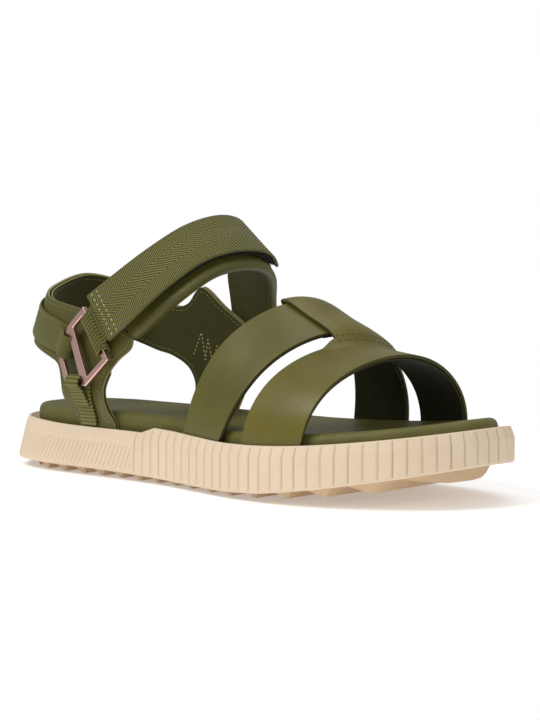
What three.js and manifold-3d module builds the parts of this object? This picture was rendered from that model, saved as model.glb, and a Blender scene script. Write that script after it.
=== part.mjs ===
// Strappy sport sandal, right foot. Millimetres, +Z up, toe along +X, inner side of the foot along +Y.
// The model is drawn with the heel at x = 0 and the ground at z = 0, and centred at the end.
import * as THREE from 'three';
import { mergeVertices } from 'three/addons/utils/BufferGeometryUtils.js';
import { TessellateModifier } from 'three/addons/modifiers/TessellateModifier.js';
import Module from 'manifold-3d';

const wasm = await Module();
wasm.setup();

// ---- driving sizes ----
const clearance = 0.3; // between pieces that touch
const wrapGap = 0.6; // between layers wrapped round the heel, whose faces are flat triangles
const soleLength = 262;
const heelWidth = 71;
const ballWidth = 96.5;
const toeSpring = 11.9; // rise of the toe off the ground
const springStart = 0.573; // share of the length where the rise begins
const lugDepth = 5.8;
const lugTip = 1.6; // flat land at the bottom of a lug
const lugTaper = 3.5; // slope of a lug's two ends, from its root to its tip
const treadInset = 3;
const treadEndInset = 9; // extra inset at the toe and heel tips
const treadTop = 8;
const wellFloor = 12; // floor of the cup that the footbed sits in
const wallThickness = 2.8;
const boardThickness = 1.5;
const coverThickness = 1;
const footbedCrown = 1.2; // drop from the footbed's edge to its middle
const liningThickness = 0.8;
const leatherThickness = 1.4;
const webbingThickness = 1;
const padFoamThickness = 1.8;
const patchThickness = 1.2; // hook tape and loop tape
const webbingWidth = 24;
const ringTapeWidth = 10;
const heelTapeWidth = 13.2;
const ringLoopWidth = 18; // ribbed loop between the ring and the closure webbing
const tongueWidth = 28;
const ringBar = 2.9; // width of a ring bar, seen from the side
const crossBar = 4.2; // width of its flat cross bar
const ringDepth = 2.4;
const swivelPlay = 0.6; // room for the ring to swing inside its two tapes
const closurePlay = 0.4; // room for the ring bar inside the closure's loop

// Worked out from the sizes above.
const strapStack = liningThickness + clearance + leatherThickness;
const quarterStack = liningThickness + wrapGap + leatherThickness;
const boardTop = wellFloor + clearance + boardThickness;
const upperFoot = boardTop + 3 * clearance; // the uppers end just above the board
const along = (share) => share * soleLength;

// ---- outline of the sole: [share of the length, share of the half width] from heel to toe ----
const heelHalf = heelWidth / 2;
const ballHalf = ballWidth / 2;
const lateralHeel = [[0, -0.056], [0.012, 0.39], [0.053, 0.76], [0.134, 0.96], [0.248, 1], [0.363, 1.014]];
const lateralFore = [[0.458, 0.788], [0.553, 0.891], [0.641, 0.984], [0.725, 1.005], [0.809, 0.933],
  [0.885, 0.746], [0.947, 0.477], [0.989, 0.124], [1, -0.207]];
const medialHeel = [[0, 0.056], [0.015, 0.479], [0.061, 0.817], [0.145, 0.986], [0.248, 0.958],
  [0.363, 0.901]];
const medialFore = [[0.458, 0.694], [0.553, 0.829], [0.641, 0.953], [0.725, 0.995], [0.809, 0.964],
  [0.885, 0.87], [0.939, 0.725], [0.981, 0.497], [1, 0.207]];
const lateral = -1;
const medial = 1;

function sideCurve(side, heelPoints, forePoints) {
  const heel = heelPoints.map(([x, y]) => new THREE.Vector3(along(x), side * y * heelHalf, 0));
  const fore = forePoints.map(([x, y]) => new THREE.Vector3(along(x), side * y * ballHalf, 0));
  return new THREE.CatmullRomCurve3([...heel, ...fore], false, 'centripetal');
}

const sideCurves = {
  [lateral]: sideCurve(lateral, lateralHeel, lateralFore),
  [medial]: sideCurve(medial, medialHeel, medialFore),
};
const sideSamples = {
  [lateral]: sideCurves[lateral].getPoints(240),
  [medial]: sideCurves[medial].getPoints(240),
};

// Distance from the centreline to the sole's edge at a station along the foot.
function halfWidthAt(side, x) {
  const samples = sideSamples[side];
  const next = THREE.MathUtils.clamp(samples.findIndex((p) => p.x > x), 1, samples.length - 1);
  const a = samples[next - 1];
  const b = samples[next];
  return Math.abs(THREE.MathUtils.lerp(a.y, b.y, (x - a.x) / (b.x - a.x)));
}

// One closed loop of outline points, lateral side forward and medial side back, moved inwards by `inset`.
const sideSteps = 32;

function outlineLoop(insetAt) {
  const lateralSide = sideCurves[lateral].getSpacedPoints(sideSteps);
  const medialSide = sideCurves[medial].getSpacedPoints(sideSteps).reverse().slice(1, -1);
  const loop = [...lateralSide, ...medialSide];
  return loop.map((p, i) => {
    const before = loop[(i + loop.length - 1) % loop.length];
    const after = loop[(i + 1) % loop.length];
    const tangent = after.clone().sub(before).normalize();
    const inset = insetAt(p.x);
    return new THREE.Vector3(p.x - tangent.y * inset, p.y + tangent.x * inset, 0);
  });
}

function toeRise(x) {
  const t = THREE.MathUtils.clamp((x - along(springStart)) / (soleLength - along(springStart)), 0, 1);
  return toeSpring * t ** 1.8;
}

// Straight-line interpolation through [share of the length, value] pairs.
function profileAt(pairs, x) {
  const share = x / soleLength;
  const next = pairs.findIndex(([s]) => s >= share);
  if (next === 0) {
    return pairs[0][1];
  }
  if (next < 0) {
    return pairs[pairs.length - 1][1];
  }
  const [s0, a] = pairs[next - 1];
  const [s1, b] = pairs[next];
  return a + ((b - a) * (share - s0)) / (s1 - s0);
}

// Heights above the cup's floor: the wall's rim, with its step at the arch, and the footbed's edge.
const rimHeight = [[0, 11.5], [0.2, 9.6], [0.395, 9.4], [0.43, 12], [0.48, 11.6], [0.6, 10], [0.72, 9],
  [1, 7]];
const footbedHeight = [[0, 17], [0.35, 17], [0.5, 15.6], [0.63, 14.2], [0.8, 12.4], [1, 10]];
const heelFlare = [[0, 3.6], [0.12, 2.6], [0.4, 0.5], [0.45, 0], [1, 0]]; // extra inset of the rim
const lugPitch = [[0, 13.5], [0.3, 12.5], [0.42, 11.5], [0.6, 15], [0.75, 17], [1, 18.5]];
const skirtHeight = [[0, 3.6], [0.3, 3.4], [0.5, 2.4], [0.7, 2.2], [0.85, 3.6], [1, 4.8]]; // lower edge

const floorAt = (x) => wellFloor + toeRise(x);
const rimAt = (x) => floorAt(x) + profileAt(rimHeight, x);
const footbedAt = (x) => floorAt(x) + profileAt(footbedHeight, x);
const flareAt = (x) => profileAt(heelFlare, x);
const skirtAt = (x) => toeRise(x) + profileAt(skirtHeight, x);
const wallInset = (x) => wallThickness + flareAt(x);
const slotOuter = (x) => wallInset(x) + 2 * clearance; // outer face of every upper piece inside the cup
const footbedInset = (x) => slotOuter(x) + quarterStack + clearance;

// A ring is the outline moved in by `inset` and lifted to a height; both may change along the sole.
function ring(insetAt, heightAt) {
  return outlineLoop(insetAt).map((p) => p.setZ(heightAt(p.x)));
}

// Closed solid through a stack of rings. The first ring's cap faces down and the last ring's faces up.
function ringSolid(rings) {
  const count = rings[0].length;
  const half = count / 2;
  const indices = [];
  const index = (r, i) => r * count + (i % count);
  for (let r = 0; r + 1 < rings.length; r += 1) {
    for (let i = 0; i < count; i += 1) {
      indices.push(index(r, i), index(r, i + 1), index(r + 1, i + 1));
      indices.push(index(r, i), index(r + 1, i + 1), index(r + 1, i));
    }
  }
  const last = rings.length - 1;
  for (let i = 0; i < half; i += 1) {
    const partner = (count - i) % count;
    const nextPartner = count - i - 1;
    if (i + 1 < half) {
      indices.push(index(0, i), index(0, nextPartner), index(0, i + 1));
      indices.push(index(last, i), index(last, i + 1), index(last, nextPartner));
    } else {
      indices.push(index(0, i), index(0, partner), index(0, i + 1));
      indices.push(index(last, i), index(last, i + 1), index(last, partner));
    }
    if (i > 0 && i + 1 < half) {
      indices.push(index(0, i), index(0, partner), index(0, nextPartner));
      indices.push(index(last, i), index(last, nextPartner), index(last, partner));
    }
  }
  const geometry = new THREE.BufferGeometry().setFromPoints(rings.flat());
  geometry.setIndex(indices);
  return geometry;
}

// ---- joining and cutting ----
function welded(geometry) {
  const bare = geometry.clone();
  bare.deleteAttribute('normal');
  bare.deleteAttribute('uv');
  return mergeVertices(bare, 1e-4);
}

function toManifold(geometry) {
  const merged = welded(geometry);
  return new wasm.Manifold(new wasm.Mesh({
    numProp: 3,
    vertProperties: new Float32Array(merged.attributes.position.array),
    triVerts: new Uint32Array(merged.index.array),
  }));
}

function fromManifold(solid) {
  const mesh = solid.getMesh();
  const geometry = new THREE.BufferGeometry();
  geometry.setAttribute('position', new THREE.BufferAttribute(mesh.vertProperties, 3));
  geometry.setIndex(new THREE.BufferAttribute(mesh.triVerts, 1));
  return geometry;
}

const joined = (a, b) => fromManifold(toManifold(a).add(toManifold(b)));
const common = (a, b) => fromManifold(toManifold(a).intersect(toManifold(b)));

// ---- sole ----
// Places where the lugs begin, and the sole's end. Their pitch grows towards the toe.
function lugStarts() {
  const starts = [0];
  let x = 0;
  while (x < soleLength) {
    x = Math.min(x + profileAt(lugPitch, x), soleLength);
    starts.push(x);
  }
  return starts;
}

// The tread's side view: a plate with saw-tooth lugs below, following the toe's rise.
function treadShape() {
  const shape = new THREE.Shape();
  const land = 0.4; // flat left between two lugs
  const root = (x) => toeRise(x) + lugDepth;
  const starts = lugStarts();
  shape.moveTo(0, root(0));
  for (let i = 0; i + 1 < starts.length; i += 1) {
    const pitch = starts[i + 1] - starts[i];
    const tip = starts[i] + pitch * 0.62;
    shape.lineTo(starts[i] + land, root(starts[i]));
    shape.lineTo(tip, toeRise(tip));
    shape.lineTo(tip + lugTip, toeRise(tip));
    shape.lineTo(starts[i + 1] - land, root(starts[i + 1]));
  }
  const topSteps = 24;
  for (let i = topSteps; i >= 0; i -= 1) {
    const x = (i / topSteps) * soleLength;
    shape.lineTo(x, toeRise(x) + treadTop);
  }
  return shape;
}

// The lugs' ends slope inwards towards their tips.
function tread() {
  const slab = new THREE.ExtrudeGeometry(treadShape(), { depth: 2 * ballWidth, bevelEnabled: false });
  slab.rotateX(Math.PI / 2);
  slab.translate(0, ballWidth, 0);
  const inset = (x) => {
    const fromEnd = Math.min(x, soleLength - x) / soleLength;
    return treadInset + treadEndInset * Math.max(0, 1 - fromEnd / 0.1);
  };
  const bounds = ringSolid([
    ring((x) => inset(x) + lugTaper, (x) => toeRise(x) - clearance),
    ring(inset, (x) => toeRise(x) + lugDepth),
    ring(inset, () => 2 * treadTop + toeSpring),
  ]);
  return common(slab, bounds);
}

// Side wall and cup in one moulding: a skirt round the tread, an outer wall with a chamfered rim,
// and the well that the footbed sits in.
function midsole() {
  const skirtInside = treadInset - clearance;
  const rimChamfer = 1.3;
  return ringSolid([
    ring(() => skirtInside, (x) => toeRise(x) + treadTop + clearance),
    ring(() => skirtInside, skirtAt),
    ring(() => 1, skirtAt),
    ring(() => 0, (x) => skirtAt(x) + 1.5),
    ring((x) => flareAt(x) * 0.5, (x) => (rimAt(x) + skirtAt(x)) / 2),
    ring(flareAt, (x) => rimAt(x) - rimChamfer * 2),
    ring((x) => flareAt(x) + rimChamfer, rimAt),
    ring(wallInset, rimAt),
    ring(wallInset, floorAt),
  ]);
}

function insoleBoard() {
  const edge = (x) => wallInset(x) + clearance;
  return ringSolid([
    ring(edge, (x) => floorAt(x) + clearance),
    ring(edge, (x) => floorAt(x) + clearance + boardThickness),
  ]);
}

// The footbed's top: rounded edge, then a shallow dish towards the middle.
function footbedTop(shrink, drop) {
  const edge = (extra) => (x) => footbedInset(x) + shrink + extra;
  const height = (below) => (x) => footbedAt(x) - drop - below;
  return [
    ring(edge(0), height(3)),
    ring(edge(0.6), height(1.1)),
    ring(edge(2.2), height(0)),
    ring(edge(6), height(0.3)),
    ring(edge(14), height(footbedCrown)),
  ];
}

const footbedBase = (x) => floorAt(x) + boardThickness + 2 * clearance;

function footbedFoam() {
  const shrink = coverThickness + clearance;
  const foot = ring((x) => footbedInset(x) + shrink, footbedBase);
  return ringSolid([foot, ...footbedTop(shrink, coverThickness + clearance)]);
}

function footbedCover() {
  const innerFoot = ring((x) => footbedInset(x) + coverThickness, footbedBase);
  const outerFoot = ring(footbedInset, footbedBase);
  const inside = footbedTop(coverThickness, coverThickness).reverse();
  return ringSolid([...inside, innerFoot, outerFoot, ...footbedTop(0, 0)]);
}

// ---- layers: every upper piece is the closed solid between two offsets of a surface ----
function surfaceNormal(at, u, v) {
  const step = 1e-3;
  const du = at(u + step, v).sub(at(u - step, v));
  const dv = at(u, v + step).sub(at(u, v - step));
  return dv.cross(du).normalize();
}

function layer(at, spanU, spanV, counts, inner, outer) {
  const [countU, countV] = counts;
  const points = [];
  const indices = [];
  for (const offset of [inner, outer]) {
    for (let i = 0; i <= countU; i += 1) {
      for (let j = 0; j <= countV; j += 1) {
        const u = THREE.MathUtils.lerp(spanU[0], spanU[1], i / countU);
        const v = THREE.MathUtils.lerp(spanV[0], spanV[1], j / countV);
        points.push(at(u, v).addScaledVector(surfaceNormal(at, u, v), offset));
      }
    }
  }
  const index = (side, i, j) => side * (countU + 1) * (countV + 1) + i * (countV + 1) + j;
  const quad = (a, b, c, d) => indices.push(a, c, b, a, d, c);
  for (let i = 0; i < countU; i += 1) {
    for (let j = 0; j < countV; j += 1) {
      quad(index(1, i, j), index(1, i + 1, j), index(1, i + 1, j + 1), index(1, i, j + 1));
      quad(index(0, i, j), index(0, i, j + 1), index(0, i + 1, j + 1), index(0, i + 1, j));
    }
    quad(index(0, i, 0), index(0, i + 1, 0), index(1, i + 1, 0), index(1, i, 0));
    quad(index(0, i + 1, countV), index(0, i, countV), index(1, i, countV), index(1, i + 1, countV));
  }
  for (let j = 0; j < countV; j += 1) {
    quad(index(0, 0, j + 1), index(0, 0, j), index(1, 0, j), index(1, 0, j + 1));
    quad(index(0, countU, j), index(0, countU, j + 1), index(1, countU, j + 1), index(1, countU, j));
  }
  const geometry = new THREE.BufferGeometry().setFromPoints(points);
  geometry.setIndex(indices);
  return geometry;
}

// Smooth value through equally spaced stations.
function smoothThrough(values, t) {
  const last = values.length - 1;
  const place = THREE.MathUtils.clamp(t, 0, 1) * last;
  const i = Math.min(Math.floor(place), last - 1);
  const local = t * last - i;
  const before = values[Math.max(i - 1, 0)];
  const after = values[Math.min(i + 2, last)];
  const slope0 = (values[i + 1] - before) / (i > 0 ? 2 : 1);
  const slope1 = (after - values[i]) / (i + 2 <= last ? 2 : 1);
  const h = THREE.MathUtils.clamp(local, 0, 1);
  const smooth = values[i] * (1 + 2 * h) * (1 - h) ** 2 + slope0 * h * (1 - h) ** 2
    + values[i + 1] * h * h * (3 - 2 * h) + slope1 * h * h * (h - 1);
  return smooth + (local - h) * (local > 1 ? slope1 : slope0);
}

// ---- straps over the forefoot ----
// `back` and `front` are the shares of the length of the strap's two edges, at the lateral foot,
// half way up, the crest, half way down and the medial foot. `crest` is the height of the two edges there.
const toeStrap = {
  back: [0.65, 0.68, 0.733, 0.748, 0.748],
  front: [0.765, 0.795, 0.836, 0.846, 0.844],
  crest: [61.5, 58],
};
const instepStrap = {
  back: [0.49, 0.547, 0.632, 0.632, 0.607],
  front: [0.585, 0.654, 0.718, 0.727, 0.715],
  crest: [79, 67],
};

const uprightShare = 0.09; // share of a strap's girth that stands upright in the cup, at each foot

function archSurface(strap) {
  return (u, v) => {
    const side = u < 0.5 ? lateral : medial;
    const station = u < 0.5 ? 0 : 4;
    const footX = along(THREE.MathUtils.lerp(strap.back[station], strap.front[station], v));
    const edgeAt = (edge, t) => along(smoothThrough(strap[edge], t));
    const xAt = (t) => THREE.MathUtils.lerp(edgeAt('back', t), edgeAt('front', t), v);
    const x = xAt(u);
    const upright = u < 0.5 ? Math.min(u, uprightShare) : Math.max(u, 1 - uprightShare);
    const reach = halfWidthAt(side, xAt(upright)) - slotOuter(footX) - strapStack;
    const foot = upperFoot + toeRise(footX);
    const spring = rimAt(footX) + 2;
    const fromFoot = Math.min(u, 1 - u);
    if (fromFoot < uprightShare) {
      const z = THREE.MathUtils.lerp(foot, spring, fromFoot / uprightShare);
      return new THREE.Vector3(x, side * reach, z);
    }
    const angle = (Math.PI / 2) * ((fromFoot - uprightShare) / (0.5 - uprightShare));
    const top = THREE.MathUtils.lerp(strap.crest[0], strap.crest[1], v) - strapStack;
    return new THREE.Vector3(x, side * reach * Math.cos(angle), spring + (top - spring) * Math.sin(angle));
  };
}

const toeSurface = archSurface(toeStrap);
const instepSurface = archSurface(instepStrap);
const whole = [0, 1];
const trimmed = [0.02, 0.98];
const leatherInner = liningThickness + clearance;

// The tongue grows out of the toe strap, lies over the instep strap, folds round its back edge
// and comes forward again underneath: [surface, share across it, offset from its inner face].
const tongueCentre = 0.552; // share of the strap's girth
const tongueHalf = leatherThickness / 2;
const tongueOver = strapStack + clearance + tongueHalf;
const tongueUnder = -clearance - tongueHalf;
const tonguePath = [
  [toeSurface, 0.3, leatherInner + tongueHalf], [toeSurface, 0.14, strapStack],
  [instepSurface, 1.02, tongueOver], [instepSurface, 0.5, tongueOver], [instepSurface, 0, tongueOver],
  [instepSurface, -0.13, (tongueOver + tongueUnder) / 2], [instepSurface, 0, tongueUnder],
  [instepSurface, 0.5, tongueUnder], [instepSurface, 0.92, tongueUnder],
];

function tongue() {
  const crestReach = halfWidthAt(lateral, along(instepStrap.back[0])) - wallThickness;
  const share = (Math.asin(tongueWidth / 2 / crestReach) / Math.PI) * (1 - 2 * uprightShare);
  const surface = (u, w) => {
    const points = tonguePath.map(([at, v, offset]) => {
      const inside = THREE.MathUtils.clamp(v, 0, 1);
      const across = at(u, 1).sub(at(u, 0)).multiplyScalar(v - inside);
      return at(u, inside).add(across).addScaledVector(surfaceNormal(at, u, inside), offset);
    });
    const path = new THREE.CatmullRomCurve3(points, false, 'centripetal');
    return path.getPoint(THREE.MathUtils.clamp(w, 0, 1));
  };
  const span = [tongueCentre - share, tongueCentre + share];
  return layer(surface, span, [0, 0.999], [6, 28], -tongueHalf, tongueHalf);
}

// ---- heel and quarters: flat patterns wrapped round the heel ----
// A pattern point is [distance round the heel from its back, height]; lateral is negative.
const heelRadius = 33; // of the pattern's round part
const heelCentre = 0.176; // share of the length where the straight sides begin
const quarterArc = (Math.PI / 2) * heelRadius;
const backAtCollar = 18; // inner face of the heel at the collar's lower edge
const collarBottom = 58;
const collarLean = 0.46; // forward lean of the heel above the collar's lower edge
const ankleHalf = { [lateral]: heelHalf - 1.8, [medial]: heelHalf - 3.9 }; // inner half widths
const collarTopHalf = heelHalf - 7.3;
const bulgeHeight = 40;
const collarTop = 86;
const pillarRange = [0.21, 0.41]; // shares of the length between which both quarter pillars stand

function sideReach(side, x, z) {
  const stand = THREE.MathUtils.clamp(x, along(pillarRange[0]), along(pillarRange[1]));
  const foot = halfWidthAt(side, stand) - slotOuter(stand) - quarterStack;
  const rim = rimAt(stand) + 1;
  if (z <= rim) {
    return foot;
  }
  const full = ankleHalf[side];
  if (z < bulgeHeight) {
    return THREE.MathUtils.lerp(foot, full, THREE.MathUtils.smoothstep(z, rim, bulgeHeight));
  }
  const above = Math.max(0, (z - collarBottom) / (collarTop - collarBottom));
  return THREE.MathUtils.lerp(full, collarTopHalf, above ** 1.3);
}

function heelSurface(s, z) {
  const side = s < 0 ? lateral : medial;
  const centre = along(heelCentre);
  const x = centre + Math.max(0, Math.abs(s) - quarterArc);
  const reach = sideReach(side, x, z);
  const back = backAtCollar + (z - collarBottom) * collarLean;
  if (Math.abs(s) > quarterArc) {
    return new THREE.Vector3(x, side * reach, z);
  }
  const angle = s / heelRadius;
  const y = side * reach * Math.sin(Math.abs(angle));
  return new THREE.Vector3(centre - (centre - back) * Math.cos(angle), y, z);
}

// Pattern distance of a point on a straight side, from its distance along the sandal.
const round = (side, x) => side * (x - along(heelCentre) + quarterArc);

function patternShape(points) {
  const shape = new THREE.Shape();
  const knots = points.map(([s, z]) => new THREE.Vector3(s, z, 0));
  const curve = new THREE.CatmullRomCurve3(knots, true, 'centripetal');
  const outline = curve.getSpacedPoints(Math.round(curve.getLength() / 7));
  shape.setFromPoints(outline.slice(0, -1).map((p) => new THREE.Vector2(p.x, p.y)));
  return shape;
}

// Cuts the pattern into small triangles, then wraps both faces round the heel.
function wrapped(shape, inner, outer, longest = 9) {
  const flat = new THREE.ExtrudeGeometry(shape, { depth: outer - inner, bevelEnabled: false });
  const fine = new TessellateModifier(longest, 12).modify(flat);
  const position = fine.attributes.position;
  const normalAt = (s, z) => surfaceNormal(heelSurface, s, z);
  for (let i = 0; i < position.count; i += 1) {
    const s = position.getX(i);
    const z = position.getY(i);
    const p = heelSurface(s, z).addScaledVector(normalAt(s, z), outer - position.getZ(i));
    position.setXYZ(i, p.x, p.y, p.z);
  }
  return fine;
}

// One leather part: lateral pillar with its forward flag, heel collar, medial quarter with a scalloped top.
function quarterOutline() {
  const out = (x, z) => [round(lateral, along(x)), z];
  const inn = (x, z) => [round(medial, along(x)), z];
  const foot = upperFoot + clearance;
  return [
    [0, 88.5], [-23, 83.5], out(0.179, 77), out(0.25, 73.5), out(0.305, 70.5), out(0.355, 66),
    out(0.383, 61.5), out(0.382, 58), out(0.35, 52), out(0.323, 44.8), out(0.31, 37.5), out(0.309, 29.4),
    out(0.32, 23), out(0.322, foot + 1.2), out(0.318, foot), out(0.232, foot), out(0.228, foot + 1.2),
    out(0.228, 22.6), out(0.21, 33), out(0.208, 41), out(0.2, 49), out(0.18, 52), [-38, 57], [-24, 60],
    [0, 61.5], [26, 59.5], inn(0.176, 52.5), inn(0.22, 50), inn(0.262, 44), inn(0.282, 32), inn(0.283, 22),
    inn(0.283, foot + 1.2), inn(0.287, foot), inn(0.39, foot), inn(0.394, foot + 1.2), inn(0.392, 28),
    inn(0.4, 43), inn(0.425, 54), inn(0.43, 59), inn(0.395, 66), inn(0.348, 74.3), inn(0.315, 81.5),
    inn(0.302, 83), inn(0.287, 81), inn(0.265, 75.5), inn(0.24, 73.7), inn(0.21, 75.5), inn(0.178, 78.5),
    [36, 82.5], [20, 86.5],
  ];
}

function quarter() {
  return wrapped(patternShape(quarterOutline()), liningThickness + wrapGap, quarterStack);
}

const lateralLiningEnd = 0.325; // the lining stops here, so that the ankle pad tucks in behind the flag

function quarterLining() {
  const limit = round(lateral, along(lateralLiningEnd));
  const points = quarterOutline().map(([s, z]) => [Math.max(s, limit), z]);
  return wrapped(patternShape(points), 0, liningThickness);
}

// ---- ring and the tapes that hold it ----
const tapeInner = quarterStack + wrapGap;
const barCorner = Math.hypot(ringBar, ringDepth) / 2;
const tapeHole = barCorner + swivelPlay;
const tapeRadius = tapeHole + webbingThickness;
const ringY = lateral * (ankleHalf[lateral] + tapeInner + tapeRadius);

// Corners of the ring, as [share of the length, height], clockwise from the top left corner.
const ringCorners = {
  topLeft: [0.254, 66], top: [0.287, 73.3], right: [0.341, 52.8], bottom: [0.29, 41.9],
  lowerLeft: [0.246, 41.9], left: [0.231, 51.8],
};
const corner = (name) => new THREE.Vector2(along(ringCorners[name][0]), ringCorners[name][1]);

// Moves a clockwise polygon's sides inwards. Side i runs from point i to the next.
function shrunk(points, distanceAt) {
  const count = points.length;
  const side = (i) => points[(i + 1) % count].clone().sub(points[i]).normalize();
  return points.map((p, i) => {
    const last = (i + count - 1) % count;
    const before = side(last);
    const after = side(i);
    const slide = (distanceAt(i) * before.dot(after) - distanceAt(last)) / before.cross(after);
    const inward = new THREE.Vector2(after.y, -after.x);
    return p.clone().addScaledVector(inward, distanceAt(i)).addScaledVector(after, slide);
  });
}

function metalRing() {
  const names = ['topLeft', 'top', 'right', 'bottom', 'lowerLeft', 'left'];
  const shape = new THREE.Shape(shrunk(names.map(corner), () => -ringBar / 2));
  const right = ['topLeft', 'top', 'right', 'bottom'].map(corner);
  const left = ['topLeft', 'bottom', 'lowerLeft', 'left'].map(corner);
  const opening = (points, crossSide) => {
    const inside = shrunk(points, (i) => (i === crossSide ? crossBar : ringBar) / 2);
    return new THREE.Path(inside.reverse());
  };
  shape.holes = [opening(right, 3), opening(left, 0)];
  const plate = new THREE.ExtrudeGeometry(shape, { depth: ringDepth, bevelEnabled: false });
  plate.rotateX(Math.PI / 2);
  plate.translate(0, ringY + ringDepth / 2, 0);
  return plate;
}

// A tape turned round a bar: a round eye with a short tail on the foot's side of the bar.
function tapeEye({ from, to, place, width, hole, tail }) {
  const radius = hole + webbingThickness;
  const start = -radius + webbingThickness;
  const tangentX = Math.sqrt(radius ** 2 - start ** 2);
  const shape = new THREE.Shape();
  shape.moveTo(tail, -radius);
  shape.lineTo(tail, start);
  shape.lineTo(tangentX, start);
  shape.absarc(0, 0, radius, Math.atan2(start, tangentX), Math.PI * 1.5, false);
  const eye = new THREE.Path();
  eye.absarc(0, 0, hole, 0, Math.PI * 2, true);
  shape.holes = [eye];
  const extrusion = { depth: width, bevelEnabled: false, curveSegments: 14 };
  const geometry = new THREE.ExtrudeGeometry(shape, extrusion);
  geometry.translate(0, 0, -width / 2);
  const barDirection = new THREE.Vector3(to.x - from.x, 0, to.y - from.y).normalize();
  const outward = new THREE.Vector3(0, lateral, 0);
  const tailDirection = outward.clone().cross(barDirection);
  const middle = from.clone().lerp(to, place);
  const turn = new THREE.Matrix4().makeBasis(tailDirection, outward, barDirection);
  turn.setPosition(middle.x, ringY, middle.y);
  return geometry.applyMatrix4(turn);
}

// Webbing round the heel. Its lateral end turns round the ring's left bar.
function heelTape() {
  const half = heelTapeWidth / 2;
  const end = corner('left').lerp(corner('topLeft'), 0.45);
  const middle = [[round(lateral, end.x - 1), end.y], [-45, 65.5], [-25, 70.5], [0, 72.5], [25, 70.5],
    [45, 65.5], [round(medial, along(0.235)), 61]];
  const path = new THREE.CatmullRomCurve3(middle.map(([s, z]) => new THREE.Vector3(s, z, 0)));
  const centres = path.getSpacedPoints(18);
  const edge = (sign) => centres.map((p, i) => {
    const tangent = path.getTangentAt(i / 18);
    return new THREE.Vector2(p.x - sign * half * tangent.y, p.y + sign * half * tangent.x);
  });
  const shape = new THREE.Shape([...edge(-1), ...edge(1).reverse()]);
  const strip = wrapped(shape, tapeInner, tapeInner + webbingThickness);
  return joined(strip, heelTapeEye());
}

// The eye reaches up the left bar until the cross bar leaves it no more room.
function heelTapeEye() {
  const bar = corner('left').sub(corner('topLeft'));
  const cross = corner('bottom').sub(corner('topLeft'));
  const between = bar.angleTo(cross);
  const beside = crossBar / 2 + clearance + (tapeHole + webbingThickness) * Math.cos(between);
  const below = 1.3;
  const width = bar.length() - below - beside / Math.sin(between);
  const place = (below + width / 2) / bar.length();
  return tapeEye({
    from: corner('left'), to: corner('topLeft'), place, width, hole: tapeHole, tail: 2,
  });
}

// Ribbed tape from the ring's lower bar down to the sole.
function ringTape() {
  const half = ringTapeWidth / 2;
  const middle = corner('bottom').add(corner('lowerLeft')).multiplyScalar(0.5);
  const footX = middle.x - 2;
  const footZ = Math.max(rimAt(footX - half), rimAt(footX + half)) + 2 * clearance;
  const at = (x, z) => new THREE.Vector2(round(lateral, x), z);
  const shape = new THREE.Shape([
    at(middle.x - half, middle.y), at(middle.x + half, middle.y),
    at(footX + half, footZ), at(footX - half, footZ),
  ]);
  const strip = wrapped(shape, tapeInner, tapeInner + webbingThickness, 5);
  const eye = tapeEye({
    from: corner('bottom'), to: corner('lowerLeft'), place: 0.62, width: 6.5, hole: tapeHole, tail: 2,
  });
  return joined(strip, eye);
}

// ---- ankle strap ----
// The inner face of the closure webbing, from the ring over the instep to the medial side. Each station
// gives [share of the length, y, z] of the rear and the front edge of the webbing.
const closureHole = barCorner + closurePlay;
const closureRadius = closureHole + webbingThickness;
const webbingLateralY = ringY + closureRadius - webbingThickness - clearance;
const medialY = ankleHalf[medial] + 12.8;
const ankleStations = [
  [[0.293, webbingLateralY, 78.5], [0.339, webbingLateralY, 62]],
  [[0.336, webbingLateralY + 1.2, 86], [0.39, webbingLateralY - 0.2, 70]],
  [[0.385, -27.5, 101], [0.456, -33, 82]],
  [[0.42, -13, 112], [0.5, -20, 93.5]],
  [[0.434, 4, 115.6], [0.511, -1, 98.2]],
  [[0.425, 19.5, 113.2], [0.506, 17, 97]],
  [[0.392, medialY - 11.9, 104], [0.48, medialY - 13.9, 91]],
  [[0.354, medialY - 4.4, 92], [0.45, medialY - 4.4, 79]],
  [[0.354, medialY - 0.8, 78], [0.43, medialY - 0.4, 65]],
  [[0.366, medialY, 62], [0.412, medialY, 52]],
];

function edgeCurve(side) {
  const points = ankleStations.map((pair) => {
    const [x, y, z] = pair[side];
    return new THREE.Vector3(along(x), y, z);
  });
  return new THREE.CatmullRomCurve3(points, false, 'centripetal');
}

const rearEdge = edgeCurve(0);
const frontEdge = edgeCurve(1);

function ankleSurface(u, v) {
  const t = THREE.MathUtils.clamp(u, 0, 1);
  const rear = rearEdge.getPoint(t);
  const front = frontEdge.getPoint(t);
  const middle = rear.clone().add(front).multiplyScalar(0.5);
  const half = front.clone().sub(rear).setLength(webbingWidth / 2);
  return middle.addScaledVector(half, 2 * v - 1);
}

// Places along the strap, as shares of its surface.
const webbingSpan = [0, 0.66];
const ringLoopSpan = [0, 0.1];
const hookSpan = [0.13, 0.64];
const loopSpan = [0.24, 0.7];
const padSpan = [0.07, 0.985];
const padAcross = [-0.04, 1.13];
const hookInner = -clearance - patchThickness;
const loopInner = hookInner - clearance - patchThickness;
const padOuterInner = loopInner - clearance - leatherThickness;
const padFoamInner = padOuterInner - clearance - padFoamThickness;
const padLiningInner = padFoamInner - clearance - liningThickness;

const patchAcross = [0.05, 0.95];
function patch(span, inner) {
  return layer(ankleSurface, span, patchAcross, [18, 3], inner, inner + patchThickness);
}

const padLayer = (inner, outer) => layer(ankleSurface, padSpan, padAcross, [30, 4], inner, outer);

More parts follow.
